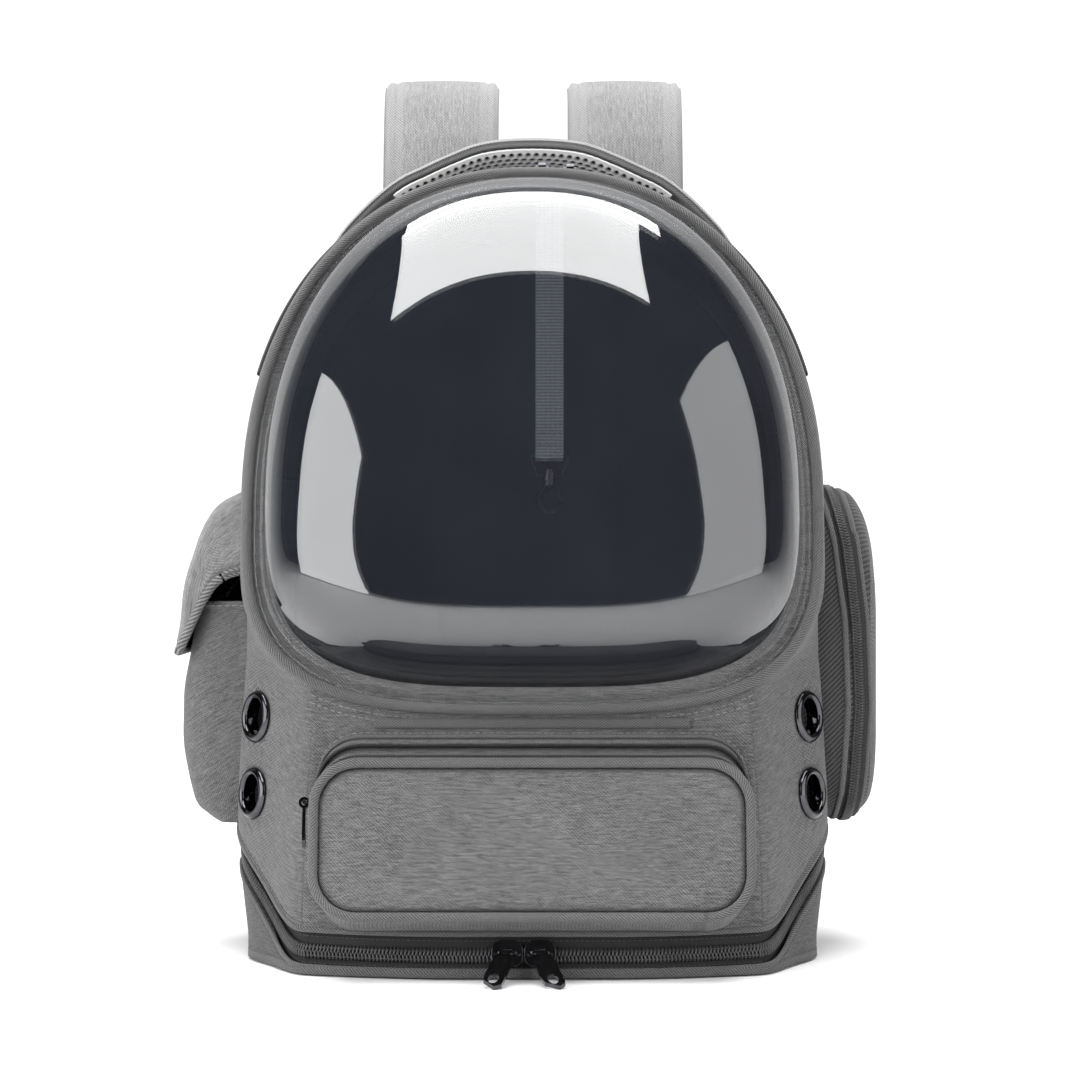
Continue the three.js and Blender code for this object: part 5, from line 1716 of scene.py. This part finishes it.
S_AT, S_WIDTH, S_THICK, S_ROOT, S_CREST, S_FOOT, S_REACH = 52.0, 65.0, 9.0, 345.0, 475.5, 165.0, 180.0
ADJUSTER_GAP, WEBBING_HALF, ANCHOR_X, ANCHOR_Z = 0.6, 12.5, 116.0, 22.0
S_CROWN, A_WIDTH, A_HEIGHT, BAR_HALF = 1.4, 34.0, 26.0, 1.9


def strap_path(side):
    seat = BACK + 0.3 + S_THICK / 2
    rows = [
        (0, seat, S_ROOT), (0, seat, mix(S_ROOT, S_CREST, 0.26)), (0, seat + 1, mix(S_ROOT, S_CREST, 0.5)),
        (0, mix(seat, S_REACH, 0.13), mix(S_ROOT, S_CREST, 0.78)),
        (0, mix(seat, S_REACH, 0.33), mix(S_ROOT, S_CREST, 0.955)),
        (0, mix(seat, S_REACH, 0.58), S_CREST),
        (0.5, mix(seat, S_REACH, 0.8), mix(S_ROOT, S_CREST, 0.93)),
        (1, mix(seat, S_REACH, 0.95), mix(S_ROOT, S_CREST, 0.72)),
        (2, S_REACH, mix(S_ROOT, S_CREST, 0.42)), (4, S_REACH - 1, mix(S_FOOT, S_ROOT, 0.8)),
        (7, S_REACH - 7, mix(S_FOOT, S_ROOT, 0.4)),
        (11, S_REACH - 15, S_FOOT + 14), (11, S_REACH - 15, S_FOOT),
    ]
    return resample(spline([Vector((side * (S_AT + o), y, z)) for o, y, z in rows], 16), 3.2)


def side_facing(line):
    """Outward directions of a line that keeps to one plane across X."""
    pairs = zip(line[:1] + line[:-1], line[1:] + line[-1:])
    return [Vector((1, 0, 0)).cross(b - a).normalized() for a, b in pairs]


def strap_half(share):
    return mix(S_WIDTH, A_WIDTH, ease(0.82, 0.98, share)) / 2


def make_strap(side):
    name = "left" if side < 0 else "right"
    line = strap_path(side)
    outs = side_facing(line)

    def section(share):
        return pad_section(-S_THICK / 2, S_THICK / 2, strap_half(share), S_CROWN)

    piece = sweep_piece(
        f"shoulder_strap_{name}_pad", line, outs, section, [STRAP_PAINTED_LIGHT, STRAP_EDGE_PAINTED_LIGHT], "light_grey_cloth",
        index_of=pad_edge_index, replaces=[f"shoulder_strap_{name}"],
    )
    lines = []
    last = len(line) - 1
    for out_side in (1, -1):
        for edge in (-1, 1):
            path, ways = [], []
            for i, (p, (_, out, across)) in enumerate(zip(line, frames(line, outs))):
                at = strap_half(i / last) - PAD_GROOVE
                high = S_THICK / 2 - S_CROWN + S_CROWN * (1 - (at / strap_half(i / last)) ** 2.2) - 0.9
                path.append(p + out * (out_side * (high + 0.05)) + across * (edge * at))
                ways.append(out * out_side)
            lines.append((path, ways))
    stitch_piece(f"shoulder_strap_{name}_stitches", lines, THREAD, 3.4, 2.4, 0.27, slot="light_grey_cloth")
    make_adjuster(name, line[-1])
    make_strap_webbing(name, side, line[-1])


def make_adjuster(name, end):
    """A frame with three bars that the webbing runs through."""
    top = end.z - ADJUSTER_GAP
    verts, faces = [], []

    def bar(x0, z0, x1, z1, deep=2.3):
        a, b = Vector((x0, end.y, z0)), Vector((x1, end.y, z1))
        base = len(verts)
        along = (b - a).normalized()
        out = Vector((0, 1, 0))
        across = along.cross(out)
        for t in (0.0, 1.0):
            c = a.lerp(b, t)
            for k in range(10):
                ang = 2 * math.pi * k / 10
                verts.append(c + out * (deep * math.sin(ang)) + across * (BAR_HALF * math.cos(ang)))
        for k in range(10):
            n = (k + 1) % 10
            faces.append((base + k, base + n, base + 10 + n, base + 10 + k))
        faces.append(tuple(base + k for k in reversed(range(10))))
        faces.append(tuple(base + 10 + k for k in range(10)))

    x_mid, half = end.x, A_WIDTH / 2 - BAR_HALF
    for z in (top - 2, top - A_HEIGHT * 0.5, top - A_HEIGHT + 2):
        bar(x_mid - half, z, x_mid + half, z)
    for s in (-1, 1):
        bar(x_mid + s * half, top - 0.4, x_mid + s * half, top - A_HEIGHT + 0.4, 2.4)
    add_piece(
        f"strap_adjuster_{name}_frame", verts, faces, GLOSS, "black_hardware",
        replaces=[f"strap_adjuster_{name}"],
    )


def make_strap_webbing(name, side, end):
    """Over the adjuster's middle bar, then down and out to its anchor."""
    top = end.z - ADJUSTER_GAP
    seat = BACK + 0.3 + 0.8
    low = top - A_HEIGHT - 0.6
    x = abs(end.x)
    rows = [(0.3, 0.8, 0.7), (0.75, 0.35, 0.42), (1, 0, 0.2)]
    pts = [
        Vector((end.x, end.y - 1.5, top - 6)), Vector((end.x, end.y + 3.2, top - 13)),
        Vector((end.x, end.y + 0.5, low + 2)), Vector((end.x, end.y, low - 11)),
    ]
    pts += [
        Vector((side * mix(x, ANCHOR_X, c), mix(seat, end.y, o), mix(ANCHOR_Z, low, u))) for c, o, u in rows
    ]
    pts.append(Vector((side * (ANCHOR_X + 2), seat, ANCHOR_Z)))
    path = resample(spline(pts, 14), 2.0)
    sweep_piece(
        f"strap_webbing_{name}_tape", path, [Vector((0, 1, 0))] * len(path),
        flat_section(-0.8, 0.8, WEBBING_HALF, 0.5), WEBBING, "dark_webbing", replaces=[f"strap_webbing_{name}"],
    )


for side in (-1, 1):
    make_strap(side)

# ---------------------------------------------------------------- tether

T_AT, T_DEPTH, T_WIDTH, T_THICK = 9.0, 25.0, 15.0, 1.4
T_TOP, T_DOUBLED, T_FOLD, T_STITCHES = 403.2, 279.0, 258.0, 270.0


def make_tether():
    half = T_THICK / 2
    loop = 1.5 + 0.3 + half
    bar = T_FOLD + half + loop
    pts = [
        Vector((T_AT, T_DEPTH, T_TOP)), Vector((T_AT, T_DEPTH, mix(bar, T_TOP + 0.8, 0.5))),
        Vector((T_AT, T_DEPTH, bar + loop * 2.2)),
    ]
    for i in range(9):
        a = math.pi + i / 8 * math.pi
        pts.append(Vector((T_AT, T_DEPTH + half + 0.15 + loop * math.cos(a), bar + loop * math.sin(a))))
    pts += [
        Vector((T_AT, T_DEPTH + T_THICK + 0.3, bar + loop * 2.2)),
        Vector((T_AT, T_DEPTH + T_THICK + 0.3, T_DOUBLED)),
    ]
    path = resample(spline(pts, 10), 1.2)
    rib = [(half * 0.9 + 0.18 * math.cos(a * 2.6), a) for a in spaced(-T_WIDTH / 2, T_WIDTH / 2, 31)]
    sweep_piece(
        "tether_strap_webbing", path, side_facing(path), rib + [(-o, a) for o, a in rib[::-1]], TETHER,
        "dark_webbing", replaces=["tether_strap"],
    )
    rows = []
    for k in (-1, 1):
        rows.append((
            [Vector((T_AT + x, T_DEPTH - half - 0.15, T_STITCHES + 3.2 * k)) for x in spaced(-5.5, 5.5, 12)],
            [Vector((0, -1, 0))] * 12,
        ))
    stitch_piece("tether_stitches", rows, DARK_THREAD, 2.6, 1.9, 0.25, slot="dark_webbing")


make_tether()

# ---------------------------------------------------------------- hardware from the CAD

CAD = {o["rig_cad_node"]: o for o in bpy.data.objects if "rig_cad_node" in o}


def polished(node, material, body, width):
    """The CAD piece's own shape with rounded edges."""
    mesh = CAD[node].data.copy()
    mesh.name = node + "_polished"
    mesh.materials.clear()
    mesh.materials.append(material)
    smooth_faces(mesh)
    piece = link(node + "_polished", mesh)
    weld = piece.modifiers.new("weld", "WELD")
    weld.merge_threshold = 0.00002
    mod = piece.modifiers.new("edges", "BEVEL")
    mod.width = width * MM
    mod.segments = 3
    mod.limit_method = "ANGLE"
    mod.angle_limit = math.radians(32)
    smooth = piece.modifiers.new("normals", "WEIGHTED_NORMAL")
    smooth.keep_sharp = False
    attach(piece, body)
    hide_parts(node)
    return piece


for zone, width in (("base", 0.55), ("top", 0.35)):
    for hand in ("left", "right"):
        polished(f"{zone}_slider_{hand}", NICKEL, BODY, width)
        polished(f"{zone}_pull_{hand}", NICKEL, f"{zone}_pull_{hand}", width * 0.7)
for node, body, width in (
    ("front_pocket_slider", BODY, 0.35), ("front_pocket_pull", "front_pocket_pull", 0.25),
    ("side_pocket_right_slider", BODY, 0.35),
):
    polished(node, NICKEL, body, width)
for node, body, width in (
    ("tether_eye", BODY, 0.2), ("tether_hook", "tether_hook", 0.2), ("tether_gate", "tether_gate", 0.15),
):
    polished(node, GLOSS, body, width)

# ---------------------------------------------------------------- floor, light, camera


def studio_material():
    s = Shader("studio_floor")
    haze = s.noise(s.spot(), 1.5, 2.0)
    s.set(Base_Color=s.ramp(haze, [(0.0, grey(0.86)), (1.0, grey(0.88))]))
    s.set(Roughness=0.7, Specular_IOR_Level=0.2)
    return s.material


def make_floor():
    """A floor that rises into a backdrop, in metres."""
    profile = [(-4.0, 0.0), (-1.5, 0.0), (0.6, 0.0)]
    for k in range(1, 13):
        a = k / 12 * math.pi / 2
        profile.append((0.6 + 1.6 * math.sin(a), 1.6 * (1 - math.cos(a))))
    profile.append((2.2, 4.5))
    xs = spaced(-4.5, 4.5, 9)
    verts = [(x, y, z) for y, z in profile for x in xs]
    mesh = bpy.data.meshes.new("studio_floor")
    mesh.from_pydata(verts, [], grid_faces(len(profile), len(xs)))
    mesh.materials.append(studio_material())
    smooth_faces(mesh)
    link("studio_floor", mesh)


def area_light(name, place, target, width, height, power):
    lamp = bpy.data.lights.new(name, "AREA")
    lamp.shape = "RECTANGLE"
    lamp.size, lamp.size_y = width, height
    lamp.energy = power
    made = link(name, lamp)
    made.rotation_mode = "QUATERNION"
    made.rotation_quaternion = (Vector(target) - Vector(place)).to_track_quat("-Z", "Y")
    made.location = place


make_floor()
area_light("softbox_left", (-0.98, -1.01, 0.60), (0.17, -0.41, 0.50), 1.57, 1.15, 29)
area_light("softbox_right", (0.94, -1.10, 0.71), (-0.21, -0.50, 0.61), 1.70, 1.38, 19)
area_light("softbox_top", (-0.08, -0.40, 1.40), (-0.08, -0.399, 0.0), 1.10, 1.20, 33)
area_light("backdrop_light", (0.0, 1.1, 3.6), (0, 1.5, 0.4), 3.5, 1.0, 95)

world = bpy.data.worlds.new("studio")
bpy.context.scene.world = world
world.use_nodes = True
world.node_tree.nodes["Background"].inputs[0].default_value = (1, 1, 1, 1)
world.node_tree.nodes["Background"].inputs[1].default_value = 0.08
bpy.context.scene.view_settings.view_transform = "Standard"

# A level camera in front of the window, in metres.
camera = bpy.data.cameras.new("camera")
camera.lens, camera.sensor_width = 102.2, 36.0
camera.clip_start, camera.clip_end = 0.05, 50
view = link("camera", camera)
view.location = (0.0039, -1.615, 0.216)
view.rotation_euler = (math.radians(90), 0, 0)
bpy.context.scene.camera = view
